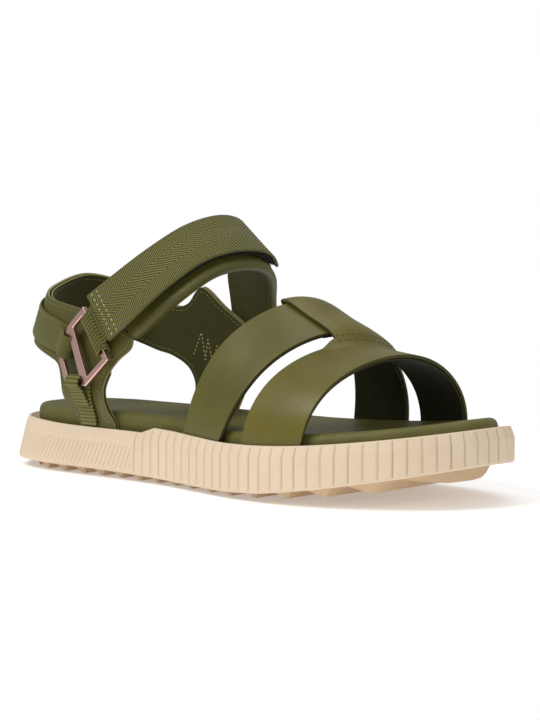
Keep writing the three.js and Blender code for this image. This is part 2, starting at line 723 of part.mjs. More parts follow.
function closureLoop() {
  const half = ringLoopWidth / webbingWidth / 2;
  const strip = layer(ankleSurface, ringLoopSpan, [0.5 - half, 0.5 + half], [6, 2],
    -clearance - webbingThickness, -clearance);
  const eye = tapeEye({
    from: corner('top'), to: corner('right'), place: 0.5, width: ringLoopWidth, hole: closureHole, tail: 6,
  });
  return joined(strip, eye);
}

// ---- assembly ----
const colours = {
  sole: '#e3cdb0', board: '#b79f7c', foam: '#d9d3c4', leather: '#5d5a2a', lining: '#3b3a20',
  webbing: '#585a2d', hook: '#2c2c1c', metal: '#d9a48c',
};

const finishes = {
  sole: [0.75, 0], board: [0.9, 0], foam: [0.9, 0], leather: [0.55, 0], lining: [0.8, 0],
  webbing: [0.9, 0], hook: [0.95, 0], metal: [0.3, 1],
};

const sandal = new THREE.Group();

function piece(name, finish, geometry) {
  const [roughness, metalness] = finishes[finish];
  const material = new THREE.MeshStandardMaterial({ color: colours[finish], roughness, metalness });
  const mesh = new THREE.Mesh(geometry, material);
  mesh.name = name;
  sandal.add(mesh);
}

const upperLayer = (at) => layer(at, whole, whole, [28, 3], leatherInner, strapStack);
const innerLayer = (at) => layer(at, whole, trimmed, [28, 3], 0, liningThickness);

piece('tread', 'sole', tread());
piece('midsole', 'sole', midsole());
piece('insole_board', 'board', insoleBoard());
piece('footbed_foam', 'foam', footbedFoam());
piece('footbed_cover', 'leather', footbedCover());
piece('toe_strap', 'leather', joined(upperLayer(toeSurface), tongue()));
piece('toe_strap_lining', 'lining', innerLayer(toeSurface));
piece('instep_strap', 'leather', upperLayer(instepSurface));
piece('instep_strap_lining', 'lining', innerLayer(instepSurface));
piece('quarter', 'leather', quarter());
piece('quarter_lining', 'lining', quarterLining());
piece('heel_tape', 'webbing', heelTape());
piece('ring_tape', 'webbing', ringTape());
piece('ring', 'metal', metalRing());
piece('closure_loop', 'webbing', closureLoop());
piece('closure_webbing', 'webbing', layer(ankleSurface, webbingSpan, whole, [22, 3], 0, leatherThickness));
piece('closure_hook', 'hook', patch(hookSpan, hookInner));
piece('pad_loop', 'hook', patch(loopSpan, loopInner));
piece('pad_leather', 'leather', padLayer(padOuterInner, loopInner - clearance));
piece('pad_foam', 'foam', padLayer(padFoamInner, padOuterInner - clearance));
piece('pad_lining', 'lining', padLayer(padLiningInner, padFoamInner - clearance));

const bounds = new THREE.Box3().setFromObject(sandal, true);
const centre = bounds.getCenter(new THREE.Vector3());
sandal.position.set(-centre.x, -centre.y, -bounds.min.z);
sandal.updateMatrixWorld(true);

export default sandal;
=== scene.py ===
# Strappy sport sandal, right foot: the leather, webbing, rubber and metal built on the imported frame.
import math

import bpy
import bmesh
import numpy as np
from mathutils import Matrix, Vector, geometry


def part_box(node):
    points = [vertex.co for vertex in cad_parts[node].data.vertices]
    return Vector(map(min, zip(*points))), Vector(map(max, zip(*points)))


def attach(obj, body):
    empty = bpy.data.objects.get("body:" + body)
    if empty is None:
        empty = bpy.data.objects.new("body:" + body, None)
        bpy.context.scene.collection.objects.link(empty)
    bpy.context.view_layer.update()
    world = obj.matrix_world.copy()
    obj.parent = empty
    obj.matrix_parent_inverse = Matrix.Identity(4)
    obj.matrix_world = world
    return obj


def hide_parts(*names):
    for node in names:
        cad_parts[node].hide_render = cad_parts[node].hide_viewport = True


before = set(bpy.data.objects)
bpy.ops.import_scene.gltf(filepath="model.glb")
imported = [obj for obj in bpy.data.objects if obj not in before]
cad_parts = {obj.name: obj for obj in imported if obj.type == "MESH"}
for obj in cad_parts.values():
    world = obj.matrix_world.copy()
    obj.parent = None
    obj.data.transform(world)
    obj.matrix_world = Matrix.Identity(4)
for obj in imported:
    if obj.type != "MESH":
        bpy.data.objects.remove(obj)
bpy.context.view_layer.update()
mm = 0.001

# Where the drawing lies in the frame: the heel at x = 0, toe along +x, inner side along +y.
soleBox = [tuple(corner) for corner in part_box("midsole")]
ringBox = [tuple(corner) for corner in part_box("ring")]
soleLength = (soleBox[1][0] - soleBox[0][0]) / mm


def lerp(a, b, t):
    return a + (b - a) * t


def clamp(value, low, high):
    return max(low, min(high, value))


def along(share):
    return share * soleLength


def unit(vector):
    return vector / np.linalg.norm(vector)


# Centripetal Catmull-Rom curve through points of any dimension.
def curvePoint(points, t, closed=False):
    count = len(points)
    place = (count if closed else count - 1) * t
    i = int(math.floor(place))
    if not closed:
        i = min(i, count - 2)
    weight = place - i
    before = points[(i - 1) % count] if closed or i > 0 else 2 * points[0] - points[1]
    a = points[i % count]
    b = points[(i + 1) % count]
    after = points[(i + 2) % count] if closed or i + 2 < count else 2 * points[-1] - points[-2]
    gap0 = np.linalg.norm(before - a) ** 0.5
    gap1 = np.linalg.norm(b - a) ** 0.5 or 1.0
    gap2 = np.linalg.norm(after - b) ** 0.5
    gap0 = gap0 if gap0 > 1e-4 else gap1
    gap2 = gap2 if gap2 > 1e-4 else gap1
    slopeA = gap1 * ((a - before) / gap0 - (b - before) / (gap0 + gap1) + (b - a) / gap1)
    slopeB = gap1 * ((b - a) / gap1 - (after - a) / (gap1 + gap2) + (after - b) / gap2)
    square = weight * weight
    return (a + slopeA * weight + (3 * (b - a) - 2 * slopeA - slopeB) * square
            + (2 * (a - b) + slopeA + slopeB) * square * weight)


# The curve cut into equal lengths.
def spacedCurve(points, count, closed=False):
    fine = np.array([curvePoint(points, i / 2400, closed) for i in range(2401)])
    lengths = np.concatenate([[0], np.cumsum(np.linalg.norm(np.diff(fine, axis=0), axis=1))])
    wanted = np.linspace(0, lengths[-1], count + 1)
    return np.array([[np.interp(s, lengths, fine[:, k]) for k in range(fine.shape[1])] for s in wanted])


# The sole's outline and heights, as in the CAD.
sole = {
    "heelHalf": 35.5, "ballHalf": 48.25, "toeSpring": 11.9, "springStart": 0.573,
    "wallThickness": 2.8, "clearance": 0.3, "treadInset": 3.0, "treadTop": 8.0, "wellFloor": 12.0,
    "boardThickness": 1.5,
    "stations": 620, "wallSteps": 22, "chamferSteps": 5, "chamfer": 1.5, "shoulderDrop": 4.6, "wallFoot": 1.6,
    "grooveDepth": 0.55, "forePitch": 5.7, "heelPitch": 2.75, "grooveHalf": 0.5, "heelSlant": 0.42,
    "rimHeight": [(0, 11.5), (0.2, 9.6), (0.395, 9.4), (0.43, 12), (0.48, 11.6), (0.6, 10), (0.72, 9), (1, 7)],
    "footbedHeight": [(0, 17), (0.35, 17), (0.5, 15.6), (0.63, 14.2), (0.8, 12.4), (1, 10)],
    "heelFlare": [(0, 3.6), (0.12, 2.6), (0.4, 0.5), (0.45, 0), (1, 0)],
    "skirtHeight": [(0, 3.6), (0.3, 3.4), (0.5, 2.4), (0.7, 2.2), (0.85, 3.6), (1, 4.8)],
    "lateralHeel": [(0, -0.056), (0.012, 0.39), (0.053, 0.76), (0.134, 0.96), (0.248, 1), (0.363, 1.014)],
    "lateralFore": [(0.458, 0.788), (0.553, 0.891), (0.641, 0.984), (0.725, 1.005), (0.809, 0.933),
                    (0.885, 0.746), (0.947, 0.477), (0.989, 0.124), (1, -0.207)],
    "medialHeel": [(0, 0.056), (0.015, 0.479), (0.061, 0.817), (0.145, 0.986), (0.248, 0.958), (0.363, 0.901)],
    "medialFore": [(0.458, 0.694), (0.553, 0.829), (0.641, 0.953), (0.725, 0.995), (0.809, 0.964),
                   (0.885, 0.87), (0.939, 0.725), (0.981, 0.497), (1, 0.207)],
}
lateral = -1
medial = 1


def sidePoints(side, heel, fore):
    points = [(along(x), side * y * sole["heelHalf"]) for x, y in sole[heel]]
    points += [(along(x), side * y * sole["ballHalf"]) for x, y in sole[fore]]
    return [np.array(p) for p in points]


sideCurves = {lateral: sidePoints(lateral, "lateralHeel", "lateralFore"),
              medial: sidePoints(medial, "medialHeel", "medialFore")}
sideSamples = {side: np.array([curvePoint(sideCurves[side], i / 240) for i in range(241)])
               for side in (lateral, medial)}


def halfWidthAt(side, x):
    samples = sideSamples[side]
    return abs(np.interp(x, samples[:, 0], samples[:, 1]))


def profileAt(name, x):
    pairs = sole[name]
    return np.interp(x / soleLength, [p[0] for p in pairs], [p[1] for p in pairs])


def toeRise(x):
    start = along(sole["springStart"])
    t = np.clip((x - start) / (soleLength - start), 0, 1)
    return sole["toeSpring"] * t ** 1.8


def floorAt(x):
    return sole["wellFloor"] + toeRise(x)


def rimAt(x):
    return floorAt(x) + profileAt("rimHeight", x)


def footbedAt(x):
    return floorAt(x) + profileAt("footbedHeight", x)


def flareAt(x):
    return profileAt("heelFlare", x)


def skirtAt(x):
    return toeRise(x) + profileAt("skirtHeight", x)


def wallInset(x):
    return sole["wallThickness"] + flareAt(x)


def slotOuter(x):
    return wallInset(x) + 2 * sole["clearance"]


# Layers of the upper.
upper = {"lining": 0.8, "leather": 1.4, "webbing": 1.0, "clearance": 0.3, "wrapGap": 0.6}
strapStack = upper["lining"] + upper["clearance"] + upper["leather"]
quarterStack = upper["lining"] + upper["wrapGap"] + upper["leather"]
upperFoot = sole["wellFloor"] + 4 * upper["clearance"] + sole["boardThickness"]
footbedGap = quarterStack + upper["clearance"]


def surfaceNormal(at, u, v, step=1e-3):
    du = at(u + step, v) - at(u - step, v)
    dv = at(u, v + step) - at(u, v - step)
    return unit(np.cross(dv, du))


def smoothThrough(values, t):
    last = len(values) - 1
    i = min(int(clamp(t, 0, 1) * last), last - 1)
    local = t * last - i
    before = values[max(i - 1, 0)]
    after = values[min(i + 2, last)]
    slope0 = (values[i + 1] - before) / (2 if i > 0 else 1)
    slope1 = (after - values[i]) / (2 if i + 2 <= last else 1)
    h = clamp(local, 0, 1)
    smooth = (values[i] * (1 + 2 * h) * (1 - h) ** 2 + slope0 * h * (1 - h) ** 2
              + values[i + 1] * h * h * (3 - 2 * h) + slope1 * h * h * (h - 1))
    return smooth + (local - h) * (slope1 if local > 1 else slope0)


# Everything is drawn in millimetres and placed in the frame's metres.
heelRound = {"radius": 33.0, "centre": 0.176, "backAtCollar": 18.0, "collarBottom": 58.0, "lean": 0.46,
             "half": {lateral: 33.7, medial: 31.6}, "topHalf": 28.2, "bulge": 40.0, "collarTop": 86.0,
             "pillars": (0.21, 0.41)}
ringMetal = {"bar": 2.9, "depth": 2.4, "swivelPlay": 0.6, "closurePlay": 0.4, "edge": 0.55, "edgeSteps": 4,
             "edgeAngle": 20}
tapeInner = quarterStack + upper["wrapGap"]
barCorner = math.hypot(ringMetal["bar"], ringMetal["depth"]) / 2
tapeHole = barCorner + ringMetal["swivelPlay"]
ringY = -(heelRound["half"][lateral] + tapeInner + tapeHole + upper["webbing"])
offsetX = soleBox[0][0]
offsetY = (ringBox[0][1] + ringBox[1][1]) / 2 - ringY * mm


def placed(points):
    points = np.asarray(points, float) * mm
    return points + np.array([offsetX, offsetY, 0.0])


def newObject(name, mesh, material, *others):
    piece = bpy.data.objects.new(name, mesh)
    bpy.context.scene.collection.objects.link(piece)
    for one in (material, *others):
        mesh.materials.append(one)
    mesh.shade_smooth()
    return piece


# A sheet through a grid of points. Its UV map runs in metres along and across it.
def gridSheet(name, points, *materials):
    points = np.asarray(points, float)
    rows, columns = points.shape[:2]
    middle = points[:, columns // 2]
    run = np.concatenate([[0], np.cumsum(np.linalg.norm(np.diff(middle, axis=0), axis=1))]) * mm
    steps = np.linalg.norm(np.diff(points, axis=1), axis=2)
    acrossRow = np.concatenate([np.zeros((rows, 1)), np.cumsum(steps, axis=1)], axis=1) * mm
    acrossRow -= acrossRow[:, -1:] / 2
    faces = []
    for i in range(rows - 1):
        for j in range(columns - 1):
            a = i * columns + j
            faces.append((a, a + 1, a + columns + 1, a + columns))
    mesh = bpy.data.meshes.new(name)
    mesh.from_pydata([tuple(p) for p in placed(points.reshape(-1, 3))], [], faces)
    layer = mesh.uv_layers.new(name="length")
    for loop in mesh.loops:
        i, j = divmod(loop.vertex_index, columns)
        layer.data[loop.index].uv = (run[i], acrossRow[i, j])
    return newObject(name, mesh, *materials)


def surfaceSheet(name, at, spanU, spanV, counts, offset, *materials):
    us = np.linspace(*spanU, counts[0] + 1)
    vs = np.linspace(*spanV, counts[1] + 1)
    points = [[at(u, v) + surfaceNormal(at, u, v) * offset for v in vs] for u in us]
    return gridSheet(name, points, *materials)


# Gives a sheet its thickness and soft cut edges. Material slot 2 is the cut edge.
def thicken(piece, thickness, bevel=0.35, segments=3, rimSlot=1):
    wall = piece.modifiers.new("thickness", "SOLIDIFY")
    wall.thickness = thickness * mm
    wall.offset = 0
    wall.use_even_offset = True
    wall.material_offset_rim = rimSlot
    if bevel:
        edge = piece.modifiers.new("soft edge", "BEVEL")
        edge.width = bevel * mm
        edge.segments = segments
        edge.limit_method = "ANGLE"
        edge.angle_limit = math.radians(50)
        edge.use_clamp_overlap = False
        normals = piece.modifiers.new("even shading", "WEIGHTED_NORMAL")
        normals.keep_sharp = False
    return piece


# Materials.
def colour(text):
    parts = [int(text[i:i + 2], 16) / 255 for i in (1, 3, 5)]
    return [p / 12.92 if p <= 0.04045 else ((p + 0.055) / 1.055) ** 2.4 for p in parts] + [1.0]


class Nodes:
    def __init__(self, name):
        self.material = bpy.data.materials.new(name)
        self.material.use_nodes = True
        self.tree = self.material.node_tree
        self.tree.nodes.clear()
        self.output = self.add("ShaderNodeOutputMaterial")
        self.shader = self.add("ShaderNodeBsdfPrincipled")
        self.link(self.shader, 0, self.output, 0)

    def add(self, kind, **settings):
        node = self.tree.nodes.new(kind)
        for key, value in settings.items():
            setattr(node, key, value)
        return node

    def link(self, source, out, target, into):
        self.tree.links.new(source.outputs[out], target.inputs[into])

    def coordinates(self, scale=(1, 1, 1), useUv=False):
        source = self.add("ShaderNodeUVMap", uv_map="length") if useUv else self.add("ShaderNodeTexCoord")
        mapping = self.add("ShaderNodeMapping")
        mapping.inputs["Scale"].default_value = scale
        self.link(source, "UV" if useUv else "Object", mapping, "Vector")
        return mapping

    def noise(self, scale, detail=3.0, roughness=0.55, stretch=(1, 1, 1), useUv=False):
        node = self.add("ShaderNodeTexNoise")
        node.inputs["Scale"].default_value = scale
        node.inputs["Detail"].default_value = detail
        node.inputs["Roughness"].default_value = roughness
        self.link(self.coordinates(stretch, useUv), 0, node, "Vector")
        return node

    def math(self, operation, a, b=None, c=None):
        node = self.add("ShaderNodeMath", operation=operation)
        for slot, value in enumerate((a, b, c)):
            if value is None:
                continue
            if isinstance(value, tuple):
                self.link(value[0], value[1], node, slot)
            else:
                node.inputs[slot].default_value = value
        return (node, 0)

    def mix(self, factor, a, b, blend="MIX"):
        node = self.add("ShaderNodeMix", data_type="RGBA", blend_type=blend)
        for slot, value in ((0, factor), (6, a), (7, b)):
            if isinstance(value, tuple):
                self.link(value[0], value[1], node, slot)
            else:
                node.inputs[slot].default_value = value
        return (node, 2)

    def range(self, value, low, high, fromLow=0.0, fromHigh=1.0):
        node = self.add("ShaderNodeMapRange")
        self.link(value[0], value[1], node, 0)
        for slot, number in zip((1, 2, 3, 4), (fromLow, fromHigh, low, high)):
            node.inputs[slot].default_value = number
        return (node, 0)

    def bump(self, height, distance, strength=1.0, under=None):
        node = self.add("ShaderNodeBump")
        node.inputs["Distance"].default_value = distance
        node.inputs["Strength"].default_value = strength
        self.link(height[0], height[1], node, "Height")
        if under:
            self.link(under[0], under[1], node, "Normal")
        return (node, 0)

    # Rounded ridges, one every pitch.
    def ridges(self, value, pitch, foot, top, height=1.0):
        wave = self.math("PINGPONG", self.math("MULTIPLY", value, 1 / pitch), 0.5)
        return self.range(wave, 0.0, height, foot, top)

    def blend(self, a, partA, b, partB):
        return self.math("ADD", self.math("MULTIPLY", a, partA), self.math("MULTIPLY", b, partB))

    # Distances along and across a tape.
    def tapeCoordinates(self):
        split = self.add("ShaderNodeSeparateXYZ")
        self.link(self.coordinates(useUv=True), 0, split, 0)
        return (split, 0), (split, 1)

    # Woven threads: colour painted light on their tops and painted shade between them, with a fine fibre over
    # everything.
    def wovenPaintedShade(self, height, deep, light, depth, strength=0.9, rough=0.76, sheen=0.14, span=(0.15, 0.95)):
        fibre = self.noise(2600, 2, 0.6)
        # Painted light and shade: deep is the painted shade between threads and light is the painted light on
        # their tops, mixed by the relief with some random fibre.
        shade = self.blend(height, 0.8, (fibre, 0), 0.35)
        base = self.mix(self.range(shade, 0.0, 1.0, *span), colour(deep), colour(light))
        normal = self.bump((fibre, 0), 0.00006, 0.5, self.bump(height, depth, strength))
        return self.finish(base, rough, normal, Sheen_Weight=sheen, Sheen_Roughness=0.35,
                           Specular_IOR_Level=0.3)

    def finish(self, base, roughness, normal=None, **fixed):
        self.link(base[0], base[1], self.shader, "Base Color")
        if isinstance(roughness, tuple):
            self.link(roughness[0], roughness[1], self.shader, "Roughness")
        else:
            self.shader.inputs["Roughness"].default_value = roughness
        if normal:
            self.link(normal[0], normal[1], self.shader, "Normal")
        for key, value in fixed.items():
            self.shader.inputs[key.replace("_", " ")].default_value = value
        return self.material


# Smooth full-grain leather: fine pores, slow colour drift, a low even shine.
def leather(name, deep, light, shine=0.46, drift=0.5):
    n = Nodes(name)
    broad = n.noise(38, 3)
    fine = n.noise(900, 2)
    patch = n.range((broad, 0), 0.0, 1.0, 0.3, 0.7)
    base = n.mix(patch, colour(deep), colour(light))
    base = n.mix(n.range((fine, 0), 0.0, drift * 0.4, 0.35, 0.75), base, colour(deep))
    pores = n.add("ShaderNodeTexVoronoi", feature="DISTANCE_TO_EDGE")
    pores.inputs["Scale"].default_value = 1700
    n.link(n.coordinates(), 0, pores, "Vector")
    grain = n.range((pores, 0), 0.0, 1.0, 0.0, 0.22)
    height = n.blend(grain, 0.5, (fine, 0), 0.8)
    normal = n.bump(height, 0.00006, 0.55)
    soft = n.noise(60, 2)
    normal = n.bump((soft, 0), 0.0006, 0.16, normal)
    rough = n.range((fine, 0), shine - 0.05, shine + 0.1, 0.3, 0.7)
    return n.finish(base, rough, normal, Specular_IOR_Level=0.4)


# Painted cut edge of the leather.
def edgePaint(name, tone, deep):
    n = Nodes(name)
    grain = n.noise(1400, 2)
    base = n.mix(n.range((grain, 0), 0.0, 0.7, 0.35, 0.7), colour(tone), colour(deep))
    return n.finish(base, 0.62, n.bump((grain, 0), 0.0001, 0.5), Specular_IOR_Level=0.3)


# Brushed microfibre lining.
def liningCloth(name, deep, light):
    n = Nodes(name)
    nap = n.noise(1500, 4, 0.7)
    streak = n.noise(420, 3, 0.6, (1, 1, 5))
    both = n.blend((nap, 0), 0.6, (streak, 0), 0.4)
    base = n.mix(n.range(both, 0.0, 1.0, 0.35, 0.65), colour(deep), colour(light))
    return n.finish(base, 0.93, n.bump(both, 0.00025, 0.6), Sheen_Weight=0.12, Sheen_Roughness=0.5,
                    Specular_IOR_Level=0.2)


herring = {"width": 0.024, "bands": 3, "pitch": 0.0021, "slope": 1.6, "selvage": 0.0014, "pick": 0.00062,
           "plainPitch": 0.0009, "wobble": 0.0003}


# Herringbone webbing: bands of slanting threads that change direction, between plain selvages.
def herringbone(name, deep, light):
    n = Nodes(name)
    run, across = n.tapeCoordinates()
    inner = herring["width"] / 2 - herring["selvage"]
    zig = n.math("PINGPONG", n.math("ADD", across, inner), 2 * inner / herring["bands"])
    slanted = n.math("ADD", run, n.math("MULTIPLY", zig, herring["slope"]))
    wobble = n.noise(700, 2, 0.5, useUv=True)
    slanted = n.math("ADD", slanted, n.math("MULTIPLY", (wobble, 0), herring["wobble"]))
    picks = n.ridges(across, herring["pick"], 0.0, 0.4)
    body = n.blend(n.ridges(slanted, herring["pitch"], 0.06, 0.3), 0.85, picks, 0.15)
    plain = n.math("ADD", n.ridges(run, herring["plainPitch"], 0.0, 0.4, 0.7), n.math("MULTIPLY", picks, 0.3))
    inside = n.math("LESS_THAN", n.math("ABSOLUTE", across), inner)
    height = n.blend(inside, body, n.math("SUBTRACT", 1.0, inside), plain)
    return n.wovenPaintedShade(height, deep, light, 0.0006, 1.0, 0.74, 0.16, (0.2, 0.85))


# Ribbed tape: ribs across its width or along it, crossed by fine threads.
def ribbedTape(name, deep, light, pitch, lengthways=False):
    n = Nodes(name)
    run, across = n.tapeCoordinates()
    ribbed, plain = (across, run) if lengthways else (run, across)
    ribs = n.ridges(ribbed, pitch, 0.05, 0.32)
    threads = n.ridges(plain, 0.0007, 0.0, 0.4)
    return n.wovenPaintedShade(n.blend(ribs, 0.72, threads, 0.28), deep, light, 0.0003)


# Twill webbing: one run of fine slanting threads.
def twillTape(name, deep, light, pitch=0.0011, slope=1.4):
    n = Nodes(name)
    run, across = n.tapeCoordinates()
    slanted = n.math("ADD", run, n.math("MULTIPLY", across, slope))
    ridge = n.ridges(slanted, pitch, 0.04, 0.36)
    picks = n.ridges(across, 0.0007, 0.0, 0.4)
    return n.wovenPaintedShade(n.blend(ridge, 0.7, picks, 0.3), deep, light, 0.0003, 0.8, 0.78)


# Hook and loop tape: a dense dark pile.
def pileTape(name, deep, light):
    n = Nodes(name)
    pile = n.noise(2400, 5, 0.8)
    tufts = n.add("ShaderNodeTexVoronoi")
    tufts.inputs["Scale"].default_value = 1300
    n.link(n.coordinates(), 0, tufts, "Vector")
    height = n.math("SUBTRACT", (pile, 0), n.math("MULTIPLY", (tufts, 0), 0.6))
    base = n.mix(n.range(height, 0.0, 1.0, 0.1, 0.6), colour(deep), colour(light))
    return n.finish(base, 0.95, n.bump(height, 0.0005, 0.9), Sheen_Weight=0.1, Specular_IOR_Level=0.15)


# Moulded cream rubber. The side wall carries an attribute that is 1 at the bottom of a groove; the third
# colour, when given, is painted shade that this attribute lays into the grooves.
def mouldedRubber(name, pale, deep, grooved):
    n = Nodes(name)
    cloud = n.noise(55, 4, 0.6)
    grit = n.noise(1500, 2, 0.6)
    base = n.mix(n.range((cloud, 0), 0.0, 0.45, 0.3, 0.7), colour(pale), colour(deep))
    base = n.mix(n.range((grit, 0), 0.0, 0.18, 0.4, 0.7), base, colour(deep))
    # Painted shade: the colour darkens towards the bottom of each groove.
    if grooved:
        groove = n.add("ShaderNodeAttribute", attribute_name="groove")
        base = n.mix(n.math("MULTIPLY", (groove, 2), 0.85), base, colour(grooved))
    normal = n.bump((grit, 0), 0.00008, 0.5)
    rough = n.range((cloud, 0), 0.62, 0.76, 0.3, 0.7)
    return n.finish(base, rough, normal, Specular_IOR_Level=0.35, Subsurface_Weight=0.05,
                    Subsurface_Radius=(0.004, 0.0025, 0.0015), Subsurface_Scale=0.4)


def roseMetal(name, face, shade):
    n = Nodes(name)
    wear = n.noise(140, 3, 0.6)
    scratch = n.noise(500, 2, 0.6, (1, 1, 7))
    base = n.mix(n.range((wear, 0), 0.0, 0.5, 0.35, 0.7), colour(face), colour(shade))
    rough = n.range((wear, 0), 0.2, 0.32, 0.3, 0.7)
    return n.finish(base, rough, n.bump((scratch, 0), 0.00003, 0.35), Metallic=1.0)


def stitchThread(name, pale, deep):
    n = Nodes(name)
    twist = n.noise(3200, 2, 0.6)
    base = n.mix(n.range((twist, 0), 0.0, 1.0, 0.35, 0.65), colour(deep), colour(pale))
    return n.finish(base, 0.7, n.bump((twist, 0), 0.0001, 0.6), Sheen_Weight=0.2, Specular_IOR_Level=0.3)


def fibreBoard(name, pale, deep):
    n = Nodes(name)
    fibres = n.noise(420, 4, 0.7, (1, 4, 1))
    base = n.mix(n.range((fibres, 0), 0.0, 1.0, 0.35, 0.65), colour(pale), colour(deep))
    return n.finish(base, 0.9, n.bump((fibres, 0), 0.0002, 0.5))


def openFoam(name, pale, deep):
    n = Nodes(name)
    cells = n.add("ShaderNodeTexVoronoi")
    cells.inputs["Scale"].default_value = 1400
    n.link(n.coordinates(), 0, cells, "Vector")
    base = n.mix(n.range((cells, 0), 0.0, 1.0, 0.0, 0.7), colour(deep), colour(pale))
    return n.finish(base, 0.95, n.bump((cells, 0), 0.0004, 0.7))


strapLeather = leather("strap_leather", "#504c17", "#5f5b1e", 0.36)
tongueLeather = leather("toe_strap_leather", "#595115", "#68601c", 0.36)
quarterLeather = leather("quarter_leather", "#4c491b", "#5b5822", 0.48)
padLeather = leather("pad_leather", "#4b4817", "#59561e", 0.42)
footbedLeather = leather("footbed_leather", "#595622", "#68642b", 0.5)
strapEdge = edgePaint("strap_edge_paint", "#4c4a22", "#302f16")
quarterEdge = edgePaint("collar_edge_paint", "#8d8959", "#6a683c")
darkEdge = edgePaint("lining_edge", "#3a3a22", "#26261a")
strapLining = liningCloth("strap_lining", "#1f200d", "#313216")
collarLining = liningCloth("quarter_lining", "#37350f", "#454218")
# The webbings' two colours are painted shade between their threads and painted light on their tops.
wideWebbing = herringbone("herringbone_webbing", "#25250c", "#787535")
ribLoopWebbing = ribbedTape("ribbed_loop", "#25250c", "#6c6930", 0.0016, lengthways=True)
ribTapeWebbing = ribbedTape("ribbed_tape", "#39380f", "#77743a", 0.0018)
twillWebbing = twillTape("twill_webbing", "#3d3b12", "#6c6931")
hookPile = pileTape("hook_tape", "#14140c", "#33331d")
# b99b7b is the painted shade at the bottoms of the wall's grooves.
wallRubberGrooveShade = mouldedRubber("rubber_painted_groove_shade", "#dfcbb1", "#d5bfa2", "#b99b7b")
# The tread's rubber is the wall's cream made darker and more orange: painted shade under the sole.
treadRubberPaintedShade = mouldedRubber("tread_rubber_painted_shade", "#d2b795", "#c0a37f", None)
ringGold = roseMetal("rose_gold", "#e6c0b6", "#d29f8e")
paleThread = stitchThread("olive_thread", "#8f8a50", "#66632f")
darkThread = stitchThread("deep_thread", "#6d6a35", "#47451f")
lightThread = stitchThread("light_thread", "#c9c48f", "#9c975f")
boardFibre = fibreBoard("board_fibre", "#bda580", "#8f7a58")
footFoam = openFoam("cushion_foam", "#d9d3c4", "#a9a390")
print("materials ready")


# Midsole wall: outline stations round the sole, each with the same rounded section.
def outlineStations(perSide):
    lateralSide = spacedCurve(sideCurves[lateral], perSide)
    medialSide = spacedCurve(sideCurves[medial], perSide)[::-1][1:-1]
    loop = np.concatenate([lateralSide, medialSide])
    before = np.roll(loop, 1, axis=0)
    after = np.roll(loop, -1, axis=0)
    tangent = after - before
    tangent /= np.linalg.norm(tangent, axis=1)[:, None]
    inward = np.stack([-tangent[:, 1], tangent[:, 0]], axis=1)
    return loop, inward


def ringRow(loop, inward, inset, height):
    x = loop[:, 0]
    inset = inset(x) if callable(inset) else np.full(len(x), float(inset))
    flat = loop + inward * inset[:, None]
    return np.column_stack([flat, height(x)])


# Closed solid through rows of outline points, with strips of faces across the first and last row.
def ringMesh(name, rows, *materials):
    count = len(rows[0])
    half = count // 2
    faces = []
    for r in range(len(rows) - 1):
        for i in range(count):
            j = (i + 1) % count
            faces.append((r * count + i, r * count + j, (r + 1) * count + j, (r + 1) * count + i))
    for r, up in ((0, False), (len(rows) - 1, True)):
        for i in range(half):
            strip = [r * count + k for k in (i, i + 1, (count - i - 1) % count, (count - i) % count)]
            strip = list(dict.fromkeys(strip))
            faces.append(tuple(strip if up else strip[::-1]))
    mesh = bpy.data.meshes.new(name)
    mesh.from_pydata([tuple(p) for p in placed(np.concatenate(rows))], [], faces)
    return newObject(name, mesh, *materials)


# Depth of the moulded grooves, 0 to 1, from the distance round the sole and the share up the wall.
def grooveShare(x, distance, up, z):
    fore = np.clip((x / soleLength - 0.375) / 0.006, 0, 1)
    upright = np.abs((distance / sole["forePitch"]) % 1 - 0.5) * sole["forePitch"]
    straight = np.clip(1 - upright / sole["grooveHalf"], 0, 1) * fore
    slanted = distance - sole["heelSlant"] * z
    lean = np.abs((slanted / sole["heelPitch"]) % 1 - 0.5) * sole["heelPitch"]
    low = np.clip((0.7 - up) / 0.05, 0, 1) * np.clip((up - 0.1) / 0.05, 0, 1)
    fine = np.clip(1 - lean / (sole["grooveHalf"] * 0.85), 0, 1) * low * (1 - fore) * 0.8
    return np.maximum(straight, fine)


# Distance of each station round the sole, counted from the heel on both sides.
def distanceRound(loop, toe):
    steps = np.linalg.norm(np.diff(loop, axis=0, append=loop[:1]), axis=1)
    distance = np.cumsum(steps)
    return np.where(np.arange(len(loop)) <= toe, distance, 2 * distance[toe] - distance)


# Rows of the grooved wall, and how deep the groove is at each point of a row.
def wallRows(loop, inward, distance):
    x = loop[:, 0]
    shoulder = rimAt(x) - sole["shoulderDrop"]
    foot = skirtAt(x) + sole["wallFoot"]
    rows, grooved = [], []

    def add(z, inset, fade, depth):
        share = grooveShare(x, distance, (z - skirtAt(x)) / (rimAt(x) - skirtAt(x)), z) * fade
        flat = loop + inward * (flareAt(x) * inset[0] + inset[1] + share * depth)[:, None]
        rows.append(np.column_stack([flat, z]))
        grooved.append(share)

    for up in np.linspace(0, 1, sole["wallSteps"] + 1):
        add(foot + (shoulder - foot) * up, (up, 0.0), 1.0, sole["grooveDepth"])
    for up in np.linspace(0, 1, sole["chamferSteps"] + 1)[1:]:
        add(shoulder + (rimAt(x) - 0.5 - shoulder) * up, (1.0, sole["chamfer"] * up ** 1.15),
            1 - max(0, up - 0.8) * 3, sole["grooveDepth"] * 0.9)
    return rows, grooved


